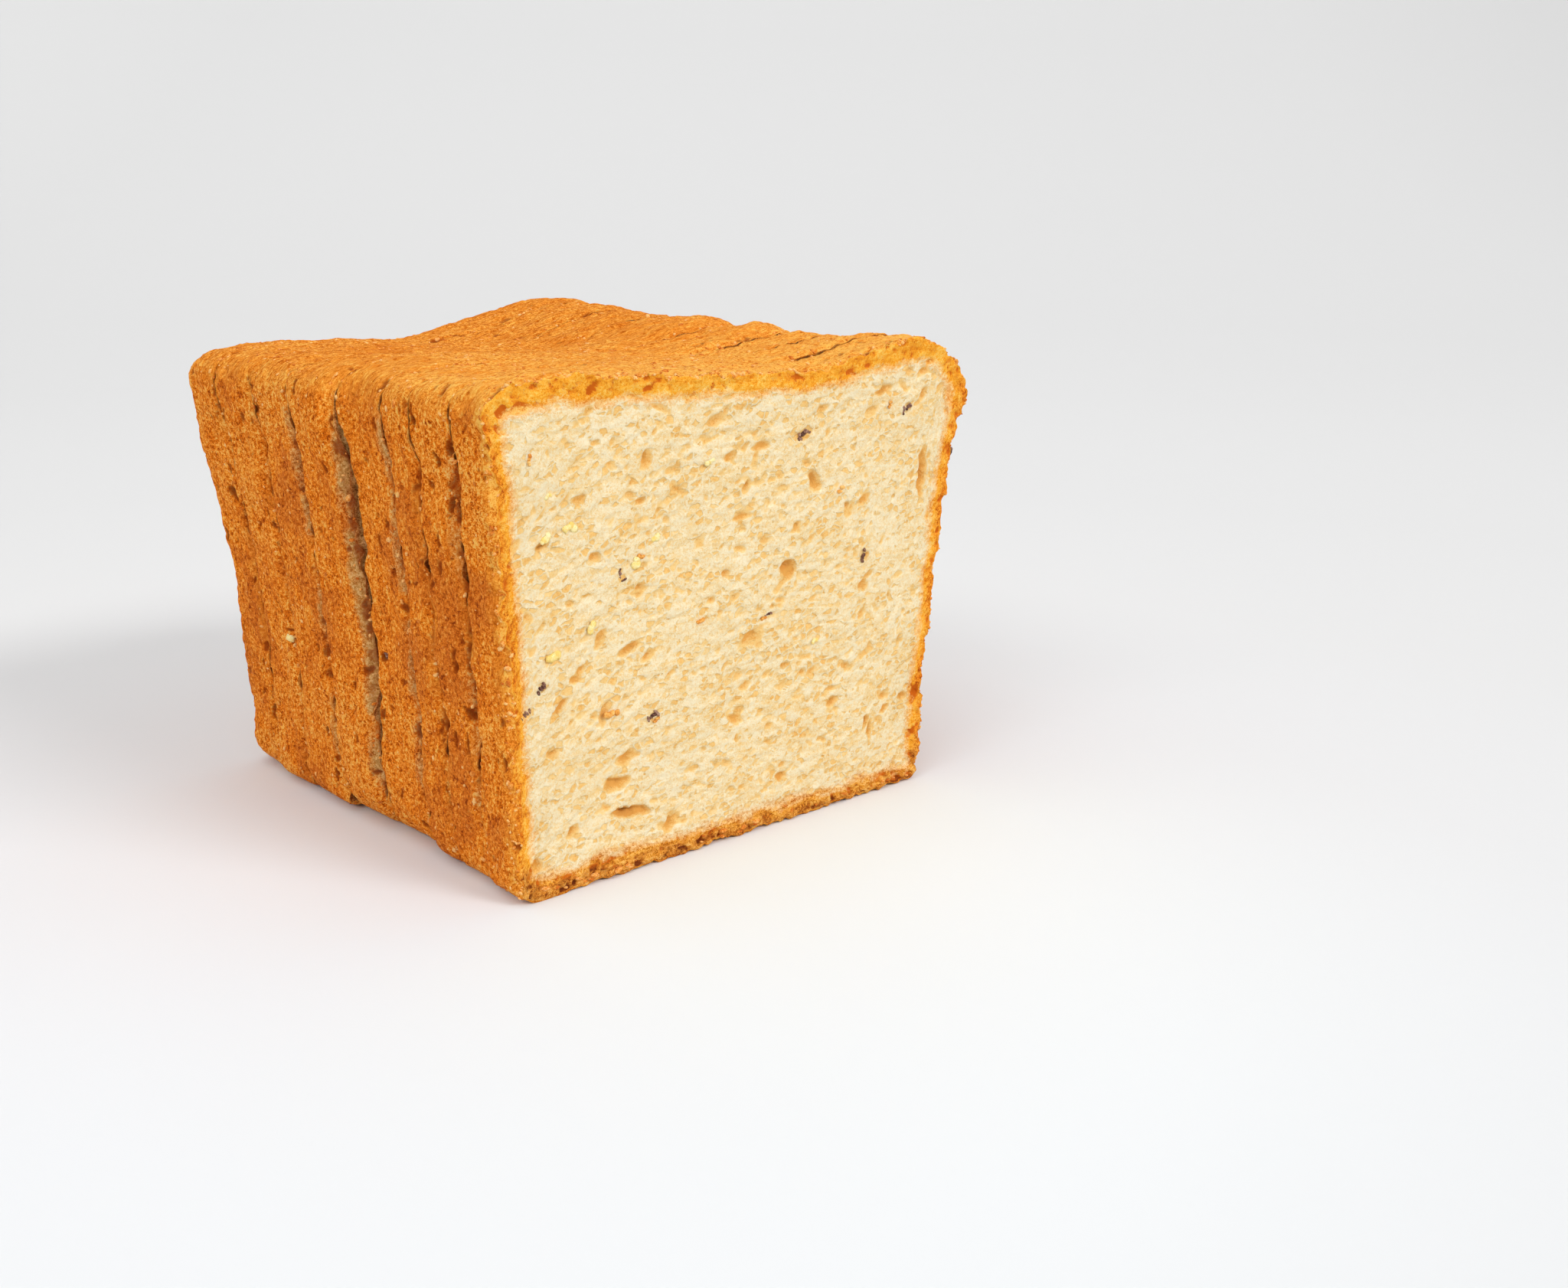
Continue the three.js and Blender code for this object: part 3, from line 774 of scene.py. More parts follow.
def end_surface(x, z, inside):
    """The baked end: a low crown over the face, as the product of two parabolas, with the
    crust's lumps and a few dents in painted shade."""
    across = np.clip((x - 2.0) / 60.0, -1, 1)
    up = np.clip((z - 50.0) / 46.0, -1, 1)
    crown = END_CROWN * ((1 - across**2) * (1 - up**2)) ** 0.8
    lumps, fine = layered(x, LOAF_LENGTH, z, SWELLS), layered(x, 0, z, END_UNEVENNESS)
    dents = 1.3 * grows(noise(x, 0, z, 2.6, 93), 0.5, 0.35) * grows(noise(x, 0, z, 13, 94), -0.2, 0.5)
    depth = ease(inside / 6)
    y = LOAF_LENGTH + crown * ease(inside / 4) + (lumps * 0.7 + fine - 0.7 * dents) * depth
    # Painted shade in the dents, through the pit attribute.
    shades = {"golden": 0.25 * grows(z, 60, 40), "pit": 0.7 * dents * depth}
    return y, {"wrap": (x * MM, z * MM), **shades}


def build_slice(index, crumb, pits, materials):
    """One slice: its crust from cut to cut, then the faces in front and behind."""
    shell = Shell()
    front_rim, back_rim = slice_sides(shell, index, pits)
    if index == 0:
        shares = band_shares(FRONT_BAND_ROWS)
        close_face(shell, front_rim, index, -1, front_surface(crumb), 1, shares, 1)
    else:
        surface = hidden_surface(index, 1)
        close_face(shell, front_rim, index, -1, surface, COARSE, HIDDEN_BANDS, 1)
    if index == len(SLICES) - 1:
        close_face(shell, back_rim, index, 1, end_surface, 2, band_shares(END_BAND_ROWS), 0)
    else:
        surface = hidden_surface(index + 1, -1)
        close_face(shell, back_rim, index, 1, surface, COARSE, HIDDEN_BANDS, 1)
    name = SLICES[index].name + "_baked"
    piece = shell.finish(name, materials)
    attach(piece, "root")
    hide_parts(SLICES[index].name)
    return shell.outside


# ---------------------------------------------------------------- flecks and loose crumbs


# Flecks in the crumb of the cut face, by kind: x, z, length, width in mm, turn in degrees.
SEED, YELLOW, ORANGE = range(3)
FLECKS = {
    SEED: [
        (48.3, 89.3, 2.5, 1.3, 20), (47.0, 88.6, 1.5, 0.8, 80), (34.8, 57.1, 3.2, 1.5, 80),
        (-54.7, 38.2, 3.2, 1.0, 40), (-50.8, 42.6, 2.6, 1.1, 30), (-32.4, 62.4, 2.0, 1.2, 95),
        (-31.6, 60.9, 1.2, 0.7, 20), (17.0, 85.7, 4.6, 2.0, 15), (15.2, 84.6, 2.4, 1.4, 60),
        (-25.0, 32.2, 4.0, 1.2, 20), (6.6, 48.1, 2.4, 0.9, 10), (-57.0, 62.0, 1.6, 0.8, 70),
    ],
    ORANGE: [
        (-35.5, 34.5, 3.0, 2.2, 30), (-12.5, 49.6, 2.2, 1.5, 20), (42.5, 90.5, 1.6, 1.1, 60),
        (-53.1, 85.9, 2.2, 1.3, 70), (-27.3, 65.1, 1.8, 1.4, 0), (27.5, 73.0, 2.0, 1.6, 30),
        (5.5, 47.4, 1.8, 1.1, 30), (-24.0, 31.0, 1.6, 1.0, 40),
    ],
    YELLOW: [
        (-48.2, 48.3, 2.5, 2.1, 20), (-39.4, 52.5, 2.0, 1.5, 45), (-43.7, 72.7, 2.6, 1.9, 20),
        (-49.4, 70.9, 2.2, 1.6, 50), (-23.3, 68.1, 2.2, 1.5, 10), (-9.5, 82.2, 2.0, 1.4, 30),
        (-28.5, 64.0, 2.4, 1.6, 60), (-49.0, 79.0, 1.8, 1.2, 0), (21.0, 40.0, 1.6, 1.1, 30),
    ],
}
# Flecks on the left side: y, height, length up, width along the loaf, kind.
SIDE_FLECKS = [
    (46.7, 40.5, 2.4, 1.8, SEED), (86.4, 36.6, 2.2, 2.6, YELLOW), (30.0, 77.0, 1.3, 1.1, ORANGE),
]
# Lumps on the right edge of the cut face: x, height, length, kind.
EDGE_FLECKS = [
    (66.0, 77.0, 2.2, SEED), (66.5, 98.0, 2.6, ORANGE), (66.5, 60.0, 1.4, SEED),
    (57.0, 12.0, 1.5, ORANGE),
]

LUMPS_PER_FLECK, FLAT_FLECK, DEEP_IN_CRUMB = 4, 0.55, 20.0
FLAKE_COUNT, RIM_CRUMB_COUNT, CUT_CRUMB_COUNT = 380, 520, 90  # on each slice, front rim, each cut
BASE_BIT_COUNT = 70  # torn bits along the front edge of the base
LUMP_POINTS = 7  # round each of a lump's three rings


def lump_form():
    """A unit ball of three rings of points and two poles, and its faces."""
    n = LUMP_POINTS
    rise, turn = np.radians([-50, 0, 50]), np.linspace(0, 2 * np.pi, n, endpoint=False)
    level, height = np.cos(rise)[:, None], np.broadcast_to(np.sin(rise)[:, None], (3, n))
    ring = np.stack([level * np.cos(turn), level * np.sin(turn), height], -1).reshape(-1, 3)
    points = np.concatenate([ring, [(0, 0, -1), (0, 0, 1)]])
    rows = np.arange(3 * n).reshape(3, n)
    ahead = np.roll(rows, -1, 1)
    quads = np.stack([rows[:-1], ahead[:-1], ahead[1:], rows[1:]], -1).reshape(-1, 4)
    low = np.stack([ahead[0], rows[0], np.full(n, 3 * n)], -1)
    high = np.stack([rows[2], ahead[2], np.full(n, 3 * n + 1)], -1)
    return points, quads, np.concatenate([low, high])


def add_lumps(shell, centres, axes, tones, rng):
    """Lumpy balls: the unit ball, uneven by a random share at each point, along three axes."""
    ball, quads, caps = lump_form()
    uneven = ball[None] * rng.uniform(0.8, 1.15, (len(centres), len(ball), 1))
    points = np.asarray(centres)[:, None] + np.einsum("nmk,nkj->nmj", uneven, np.asarray(axes))
    numbers = shell.add(*np.moveaxis(points, -1, 0), hollow=np.asarray(tones, float)[:, None])
    for faces in (quads, caps):
        shell.face(*(numbers[:, faces[:, k]] for k in range(faces.shape[1])))


def local_axes(normal, turn, long, wide, thick):
    """Right-handed axes: length and width in the surface, turned about its normal."""
    normal = normal / np.linalg.norm(normal, axis=-1, keepdims=True)
    level = np.cross([0.0, 0.0, 1.0], normal) + [1e-6, 0, 0]
    level = level / np.linalg.norm(level, axis=-1, keepdims=True)
    rise = np.cross(normal, level)
    c, s = np.cos(turn)[..., None], np.sin(turn)[..., None]
    sizes = [np.asarray(size)[..., None] / 2 for size in (long, wide, thick)]
    axes = (level * c + rise * s, rise * c - level * s, normal)
    return np.stack([axis * size for axis, size in zip(axes, sizes)], -2)


def surface_normals(grid):
    """Outward normals of a grid of crust points, from its neighbours along and round."""
    along = np.gradient(grid, axis=0)
    round_it = np.roll(grid, -1, 1) - np.roll(grid, 1, 1)
    return np.cross(round_it, along)


def nearest_on(grids, chosen, wanted):
    """The crust point nearest to the wanted values of the chosen axes, and its normal."""
    best = None
    for grid in grids:
        gap = ((grid[..., chosen] - wanted) ** 2).sum(-1)
        if 2 not in chosen or 0 not in chosen:
            gap = gap + 1e6 * (grid[..., 0] > 0)
        spot = np.unravel_index(gap.argmin(), gap.shape)
        if best is None or gap[spot] < best[0]:
            best = (gap[spot], grid[spot], surface_normals(grid)[spot])
    return best[1], best[2]


def face_flecks(grids, crumb, rng):
    """Seeds and bits: pressed into the cut face, and a few on the crust. One set of centres, axes
    and tones for each kind."""
    kinds = {kind: ([], [], []) for kind in (SEED, YELLOW, ORANGE)}
    surface = front_surface(crumb)

    def put(kind, centre, normal, turn, long, wide, thick):
        axes = local_axes(np.asarray(normal, float), np.asarray(float(turn)), long, wide, thick)
        for store, value in zip(kinds[kind], (centre, axes, rng.uniform(0.2, 0.8))):
            store.append(value)

    def press_in(kind, x, z, long, wide, turn):
        y = float(surface(np.array(x), np.array(z), np.array(DEEP_IN_CRUMB))[0])
        turn = math.radians(turn)
        c, s = math.cos(turn), math.sin(turn)
        plump, flat = (1.3, 0.4) if kind == YELLOW else (0.85, FLAT_FLECK)
        for k in range(LUMPS_PER_FLECK):
            ahead = (k - 1.5) * long * 0.26 * rng.uniform(0.6, 1.2)
            aside = rng.normal(0, 0.16) * wide
            size = rng.uniform(0.7, 1.1) * plump
            centre = (x + ahead * c - aside * s, y - 0.05 * wide, z + ahead * s + aside * c)
            turned = -turn + rng.normal(0, 0.5)
            put(kind, centre, (0, -1, 0), turned, long * size * 0.6, wide * size * 0.85, wide * flat)

    for kind, flecks in FLECKS.items():
        for fleck in flecks:
            press_in(kind, *fleck)
    for y, z, long, wide, kind in SIDE_FLECKS:
        centre, normal = nearest_on(grids, [1, 2], (y, z))
        put(kind, centre, normal, math.pi / 2, long, wide, 1.1)
        put(kind, centre + [0, 0.3 * wide, 0.25 * long], normal, 1.0, long * 0.6, wide * 0.6, 1.2)
    for x, z, long, kind in EDGE_FLECKS:
        centre, normal = nearest_on(grids[:1], [0, 2, 1], (x, z, 1.2))
        put(kind, centre, normal, 0.4, long, long * 0.7, long * 0.7)
        put(kind, centre + [0.2, -0.3, 0.3 * long], normal, 1.2, long * 0.6, long * 0.5, long * 0.5)
    return kinds


def loose_crumbs(grids, rng):
    """Small flakes all over the crust, and crumbs along the front rim, the cuts and the base."""
    sets = []
    for index, grid in enumerate(grids):
        normals, last = surface_normals(grid), grid.shape[0] - 1
        edge = RIM_CRUMB_COUNT if index == 0 else CUT_CRUMB_COUNT
        groups = [
            (FLAKE_COUNT, rng.integers(1, last, FLAKE_COUNT), 0.55, 0.4),
            (edge, rng.integers(0, 4, edge), 0.62, 0.7),
            (CUT_CRUMB_COUNT, last - rng.integers(0, 4, CUT_CRUMB_COUNT), 0.6, 0.6),
        ]
        for count, row, size, thick in groups:
            column = rng.integers(0, grid.shape[1], count)
            spot, normal = grid[row, column], normals[row, column]
            keep = spot[:, 2] > 0.8
            spot, normal = spot[keep], normal[keep]
            count = len(spot)
            long = np.clip(rng.lognormal(math.log(size), 0.35, count), 0.3, 1.5)
            turn = rng.uniform(0, 3.1, count)
            axes = local_axes(normal, turn, long * 1.3, long * 0.8, long * thick)
            sets.append((spot, axes, rng.uniform(0.1, 0.9, count)))
    sets.append(base_bits(rng))
    return [np.concatenate(parts) for parts in zip(*sets)]


def base_bits(rng):
    """Torn bits along the front edge of the base: centres, axes and tones."""
    n = BASE_BIT_COUNT
    x, y, z = (rng.uniform(*ends, n) for ends in ((-54, 53), (-0.3, 1.6), (0.9, 2.6)))
    long = np.minimum(rng.uniform(0.6, 1.9, n), z * 1.2)
    lean = np.stack([rng.normal(0, 0.2, n), -np.ones(n), np.zeros(n)], -1)
    axes = local_axes(lean, rng.normal(0, 0.35, n), long * 1.5, long * 0.6, long * 0.8)
    return np.stack([x, y, z], -1), axes, rng.uniform(0.0, 0.6, n)


def build_flecks(grids, crumb, rng, materials):
    """Four joined pieces: dark seeds, yellow bits, orange bits and the crust's own crumbs."""
    kinds = face_flecks(grids, crumb, rng)
    sets = [
        ("seeds", "crumb", kinds[SEED]), ("yellow_bits", "crumb", kinds[YELLOW]),
        ("orange_bits", "crumb", kinds[ORANGE]), ("crust_crumbs", "crust", loose_crumbs(grids, rng)),
    ]
    for (name, slot, lumps), material in zip(sets, materials):
        shell = Shell()
        add_lumps(shell, *lumps, rng)
        piece = shell.finish(name, [material])
        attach(piece, "root")


# ---------------------------------------------------------------- node helpers


def join(tree, socket, value):
    """Links a value to a socket, or sets it there if it is a constant."""
    if isinstance(value, bpy.types.NodeSocket):
        tree.links.new(value, socket)
    else:
        socket.default_value = value


def node(tree, kind, inputs=None, **settings):
    """A node with its settings made and its inputs linked or set, by name or number."""
    made = tree.nodes.new(kind)
    for key, value in settings.items():
        setattr(made, key, value)
    for key, value in (inputs or {}).items():
        join(tree, made.inputs[key], value)
    return made


def calc(tree, operation, a, b=0.0, c=0.0, clamp=False):
    """A sum on numbers."""
    made = node(tree, "ShaderNodeMath", {0: a, 1: b, 2: c}, operation=operation, use_clamp=clamp)
    return made.outputs[0]


def times(tree, a, b):
    return calc(tree, "MULTIPLY", a, b)


def minus(tree, a, b):
    return calc(tree, "SUBTRACT", a, b)


def calc_vector(tree, operation, a, b=(0, 0, 0), scale=1.0):
    """A sum on vectors; gives both outputs, the vector and the number."""
    inputs = {0: a, 1: b, 3: scale}
    return node(tree, "ShaderNodeVectorMath", inputs, operation=operation).outputs


def part_of(tree, kind, value, which=0):
    """One of the three parts of a colour or a vector."""
    return node(tree, "ShaderNodeSeparate" + kind, {0: value}).outputs[which]


def span(tree, value, low, high, to_low=0.0, to_high=1.0):
    """The value's place between low and high, carried over to another span and held to it."""
    inputs = {"Value": value, "From Min": low, "From Max": high, "To Min": to_low, "To Max": to_high}
    return node(tree, "ShaderNodeMapRange", inputs, clamp=True).outputs[0]


def blend(tree, factor, a, b, mode="MIX"):
    """Colours a and b mixed by the factor: the sockets 0, 6 and 7 are those for colours."""
    inputs = {0: factor, 6: a, 7: b}
    return node(tree, "ShaderNodeMix", inputs, data_type="RGBA", blend_type=mode).outputs[2]


def attribute(tree, name, vector=False):
    made = node(tree, "ShaderNodeAttribute", attribute_name=name)
    return made.outputs["Vector" if vector else "Fac"]


def scaled(tree, vector, scale):
    return node(tree, "ShaderNodeMapping", {"Vector": vector, "Scale": scale}).outputs[0]


def speckle(tree, vector, scale, detail=3.0, roughness=0.6):
    """Plain noise in 0..1 at a scale in cells to the metre."""
    inputs = {"Vector": vector, "Scale": scale, "Detail": detail, "Roughness": roughness}
    return node(tree, "ShaderNodeTexNoise", inputs).outputs["Fac"]


def shaken_place(tree, place, cells, detail, far):
    """A place moved by noise, by half the distance far at the most on each axis."""
    inputs = {"Vector": place, "Scale": cells, "Detail": detail}
    shake = node(tree, "ShaderNodeTexNoise", inputs).outputs["Color"]
    shake = calc_vector(tree, "SUBTRACT", shake, (0.5, 0.5, 0.5))[0]
    return calc_vector(tree, "ADD", place, calc_vector(tree, "SCALE", shake, scale=far)[0])[0]


def group(name, inputs, output):
    """An empty node group. Its inputs are numbers with a usual value, or vectors where that is
    None. Gives its tree, its inputs and a function that closes it with its one output."""
    tree = bpy.data.node_groups.new(name, "ShaderNodeTree")
    for key, value in inputs.items():
        kind = "NodeSocketVector" if value is None else "NodeSocketFloat"
        socket = tree.interface.new_socket(key, in_out="INPUT", socket_type=kind)
        if value is not None:
            socket.default_value = value
    tree.interface.new_socket(output, in_out="OUTPUT", socket_type="NodeSocketFloat")
    given, out = node(tree, "NodeGroupInput").outputs, node(tree, "NodeGroupOutput").inputs[0]

    def close(value):
        tree.links.new(value, out)
        return tree

    return tree, given, close


def use(tree, made_group, place, **inputs):
    """A group's output at a place, with its other inputs given by name."""
    inputs = {"Place": place, **inputs}
    return node(tree, "ShaderNodeGroup", inputs, node_tree=made_group).outputs[0]


def specks_group():
    """Sparse specks: cells whose own random value is high, near each cell's centre, with the
    place shaken by fine noise so that no speck is round. Cells is in cells to the metre."""
    usual = {"Place": None, "Cells": 500.0, "Share": 0.2, "Radius": 0.3}
    tree, given, close = group("sparse_specks", usual, "Mask")
    far = calc(tree, "DIVIDE", 0.9, given["Cells"])
    place = shaken_place(tree, given["Place"], times(tree, given["Cells"], 2.5), 2.0, far)
    cells = node(tree, "ShaderNodeTexVoronoi", {"Vector": place, "Scale": given["Cells"]}).outputs
    chosen = calc(tree, "GREATER_THAN", given["Share"], part_of(tree, "Color", cells["Color"]))
    inside = minus(tree, given["Radius"], cells["Distance"])
    return close(times(tree, calc(tree, "MULTIPLY", inside, 8.0, clamp=True), chosen))


def grain_group():
    """Baked grain: noise at one size and at a third of it, as a height about 0.75."""
    tree, given, close = group("baked_grain", {"Place": None, "Cells": 900.0}, "Height")
    wide = speckle(tree, given["Place"], given["Cells"], 4.0, 0.8)
    fine = speckle(tree, given["Place"], times(tree, given["Cells"], 3.1), 2.0, 0.6)
    return close(calc(tree, "MULTIPLY_ADD", fine, 0.5, wide))


def drawn_out(tree, place, degrees, sizes):
    """A place turned about the axis along the loaf and measured in cells of three sizes."""
    size = node(tree, "ShaderNodeCombineXYZ", dict(enumerate(sizes))).outputs[0]
    inputs = {"Vector": place, "Rotation": (0, math.radians(degrees), 0), "Scale": size}
    return node(tree, "ShaderNodeMapping", inputs, vector_type="TEXTURE").outputs[0]


def strands_group():
    """Noise drawn out along the strands: four noises drawn out at 0, 45, 90 and 135 degrees on
    the cut face, each counting as far as the strands' doubled angle agrees with its own."""
    usual = {"Place": None, "Doubled": None, "Length": 0.0024, "Width": 0.0012}
    tree, given, close = group("drawn_strands", usual, "Height")
    doubled = node(tree, "ShaderNodeSeparateXYZ", {0: given["Doubled"]}).outputs
    sizes = [given[name] for name in ("Length", "Width", "Width")]
    total, weights = 0.0, 0.0001
    for turn, axis, sign in ((0, 0, 1.0), (45, 1, 1.0), (90, 0, -1.0), (135, 1, -1.0)):
        drawn = speckle(tree, drawn_out(tree, given["Place"], -turn, sizes), 1.0, 5.0, 0.8)
        weight = calc(tree, "MAXIMUM", times(tree, doubled[axis], sign), 0.0)
        total = calc(tree, "MULTIPLY_ADD", drawn, weight, total)
        weights = calc(tree, "ADD", weights, weight)
    return close(calc(tree, "DIVIDE", total, weights))


def bubbles_group():
    """Bubbles cut open: cells drawn out level or upright as the strands run, hollow inside and
    nought at their walls; each cell's own random value says how deep it is, most not at all."""
    usual = {"Place": None, "Doubled": None, "Length": 0.002, "Width": 0.0013, "Share": 0.4}
    tree, given, close = group("cut_bubbles", usual, "Hollow")
    place = shaken_place(tree, given["Place"], 420.0, 3.0, times(tree, given["Width"], 1.6))
    hollows = []
    for turn, names in ((-16, ("Length", "Width", "Width")), (0, ("Width", "Width", "Length"))):
        drawn = drawn_out(tree, place, turn, [given[name] for name in names])
        cell = {"Vector": drawn, "Scale": 1.0}
        walls = node(tree, "ShaderNodeTexVoronoi", cell, feature="DISTANCE_TO_EDGE").outputs[0]
        own = part_of(tree, "Color", node(tree, "ShaderNodeTexVoronoi", cell).outputs["Color"])
        deep = span(tree, calc(tree, "DIVIDE", own, given["Share"]), 1.0, 0.3)
        hollows.append(times(tree, span(tree, walls, 0.05, 0.16), deep))
    level = span(tree, part_of(tree, "XYZ", given["Doubled"]), -0.2, 0.2)
    apart = minus(tree, hollows[0], hollows[1])
    return close(calc(tree, "MULTIPLY_ADD", apart, level, hollows[1]))


def new_material(name):
    """An empty material, its node tree and the place in the part's own coordinates."""
    material = bpy.data.materials.new(name)
    material.use_nodes = True
    tree = material.node_tree
    return material, tree, node(tree, "ShaderNodeTexCoord").outputs["Object"]


def dress(material, colour, roughness, specular, bump=None):
    """Joins a colour, a roughness, a shine and a bump's height, strength and depth in metres to
    the material's shader."""
    tree = material.node_tree
    sockets = tree.nodes["Principled BSDF"].inputs
    looks = {"Base Color": colour, "Roughness": roughness, "Specular IOR Level": specular}
    if bump:
        inputs = dict(zip(("Height", "Strength", "Distance"), bump))
        looks["Normal"] = node(tree, "ShaderNodeBump", inputs).outputs[0]
    for key, value in looks.items():
        join(tree, sockets[key], value)
    return material


def ramp(tree, value, stops):
    """A colour along a row of stops, each a place and a colour."""
    made = node(tree, "ShaderNodeValToRGB", {"Fac": value})
    steps = made.color_ramp.elements
    while len(steps) < len(stops):
        steps.new(0.5)
    for step, (place, colour) in zip(steps, stops):
        step.position, step.color = place, (*colour, 1)
    return made.outputs["Color"]


def summed(tree, start, parts):
    """A start value plus each part's distance from its middle, times its weight."""
    total = start
    for value, middle, weight in parts:
        share = calc(tree, "MULTIPLY_ADD", value, weight, -middle * weight)
        total = calc(tree, "ADD", share, total)
    return total


# Colours, linear, from dark to light.
SIDE_CRUST = [
    (0.0, (0.31, 0.045, 0.001)), (0.22, (0.60, 0.118, 0.003)), (0.45, (0.82, 0.182, 0.006)),
    (0.7, (0.95, 0.315, 0.023)), (1.0, (1.0, 0.55, 0.12)),
]
RED_CRUST = [
    (0.0, (0.26, 0.040, 0.003)), (0.3, (0.54, 0.115, 0.008)), (0.55, (0.71, 0.175, 0.015)),
    (1.0, (0.92, 0.37, 0.06)),
]
TOP_CRUST = [
    (0.0, (0.50, 0.105, 0.003)), (0.22, (0.68, 0.185, 0.011)), (0.45, (0.79, 0.262, 0.026)),
    (0.7, (0.87, 0.345, 0.042)), (1.0, (0.96, 0.52, 0.10)),
]
# Crumb, from the tan of painted shade in the pores up to cream.
CRUMB = [
    (0.0, (0.75, 0.365, 0.08)), (0.12, (0.82, 0.465, 0.137)), (0.3, (0.855, 0.56, 0.205)),
    (0.52, (0.88, 0.635, 0.30)), (0.75, (0.895, 0.695, 0.382)), (1.0, (0.93, 0.80, 0.545)),
]
BAND_INNER = [
    (0.0, (0.80, 0.225, 0.006)), (0.3, (0.96, 0.375, 0.017)), (0.6, (0.97, 0.47, 0.042)),
    (1.0, (1.0, 0.65, 0.15)),
]
BAND_OUTER = [
    (0.0, (0.38, 0.055, 0.001)), (0.25, (0.68, 0.162, 0.004)), (0.5, (0.86, 0.265, 0.012)),
    (1.0, (0.98, 0.47, 0.050)),
]
BASE_CRUST = [
    (0.0, (0.20, 0.035, 0.002)), (0.2, (0.46, 0.122, 0.008)), (0.45, (0.72, 0.262, 0.028)),
    (0.7, (0.85, 0.39, 0.062)), (1.0, (0.95, 0.60, 0.19)),
]
# Bare crumb at the cuts in painted shade: the cream crumb painted dark grey-brown.
SHADED_BARE_CUT = [
    (0.0, (0.17, 0.070, 0.012)), (0.3, (0.42, 0.195, 0.045)), (0.6, (0.61, 0.325, 0.095)),
    (1.0, (0.86, 0.57, 0.24)),
]
# Painted shade in the torn pits of the cut face's rim, darker at the base's outer edge.
BAND_PIT, BASE_PIT = (0.60, 0.125, 0.004, 1), (0.17, 0.032, 0.003, 1)
SEED_HUSK = [(0.2, (0.07, 0.022, 0.014)), (0.5, (0.22, 0.095, 0.06)), (0.8, (0.47, 0.28, 0.19))]
YELLOW_BIT = [(0.2, (0.93, 0.64, 0.15)), (0.5, (0.96, 0.76, 0.28)), (0.8, (0.98, 0.86, 0.46))]
ORANGE_BIT = [(0.2, (0.70, 0.24, 0.03)), (0.5, (0.88, 0.42, 0.08)), (0.8, (0.95, 0.60, 0.20))]
CRUST_BIT = [(0.1, (0.55, 0.12, 0.006)), (0.45, (0.86, 0.30, 0.03)), (0.9, (0.97, 0.60, 0.22))]
# Painted shade in the crust's pits and grooves, near black in the deepest.
CRUST_PIT, DEEP_PIT = (0.28, 0.043, 0.003, 1), (0.07, 0.012, 0.002, 1)
DARK_SPECK = (0.10, 0.03, 0.01, 1)
# The floor's grey by distance from a place beside the loaf, as a share of FLOOR_REACH: painted light
# falloff.
FLOOR_WITH_PAINTED_LIGHT = [
    # Cyan near the loaf: painted against the crust's reddish bounce light.
    (0.022, (0.80, 0.822, 0.84)), (0.05, (0.735, 0.74, 0.748)), (0.084, (0.70, 0.70, 0.70)),
    (0.143, (0.665, 0.665, 0.665)), (0.25, (0.63, 0.63, 0.63)), (0.375, (0.57, 0.57, 0.57)),
    (0.7, (0.45, 0.45, 0.45)), (1.0, (0.37, 0.37, 0.37)),
]


def crust_tone(tree, place, grit, specks):
    """How light the crust is: grain on the sides and fibres on the gold, over blotches. Thin cracks
    round the loaf and tiny pits are painted shade; pale grits and flakes are partly pale crumbs,
    partly painted glints. Gives the tone, the shares that the rest needs, and the parts of the bump."""
    wrap, golden = attribute(tree, "wrap", vector=True), attribute(tree, "golden")
    grain_side = speckle(tree, place, 1250.0, 4.0, 0.8)
    fibre = speckle(tree, scaled(tree, wrap, (330, 1900, 1)), 1.0, 4.0, 0.75)
    fibre = times(tree, minus(tree, fibre, grain_side), golden)
    fibre = summed(tree, grain_side, [(fibre, 0.0, 1.0)])
    blotches = speckle(tree, scaled(tree, wrap, (170, 330, 1)), 1.0, 3.0, 0.6)
    patches = speckle(tree, place, 42.0, 3.0, 0.55)
    ridge = speckle(tree, scaled(tree, wrap, (120, 620, 1)), 1.0, 3.0, 0.55)
    thin = span(tree, calc(tree, "ABSOLUTE", minus(tree, ridge, 0.5)), 0.0, 0.022, 1.0, 0.0)
    # Painted shade: thin cracks and tiny pits darken the tone.
    cracks = times(tree, thin, span(tree, blotches, 0.53, 0.62))
    pocks = use(tree, specks, place, Cells=620.0, Share=0.16, Radius=0.3)
    # Pale grits and flakes: partly pale crumbs of the crust, partly painted glints.
    grits = use(tree, specks, place, Cells=760.0, Share=0.09, Radius=0.26)
    flakes = span(tree, fibre, 0.60, 0.66)
    grain_part = times(tree, minus(tree, grit, 0.75), span(tree, patches, 0.36, 0.6, 1.6, 3.2))
    forward = span(tree, part_of(tree, "XYZ", place, 1), -0.052, 0.02, 0.24, -0.12)
    forward = times(tree, forward, span(tree, golden, 0.88, 1.0))
    tone = summed(tree, 0.54, [
        (fibre, 0.5, 2.3), (blotches, 0.5, 0.8), (patches, 0.5, 0.45), (grain_part, 0.0, 1.0),
        (cracks, 0.0, -0.35), (pocks, 0.0, -0.4), (flakes, 0.05, 0.24), (grits, 0.02, 0.38),
        (forward, 0.0, 1.0),
    ])
    relief = [(fibre, 0.5, 0.9), (cracks, 0.0, -0.4), (pocks, 0.0, -0.5), (flakes, 0.0, 0.2)]
    return tone, (golden, fibre, blotches, patches), relief


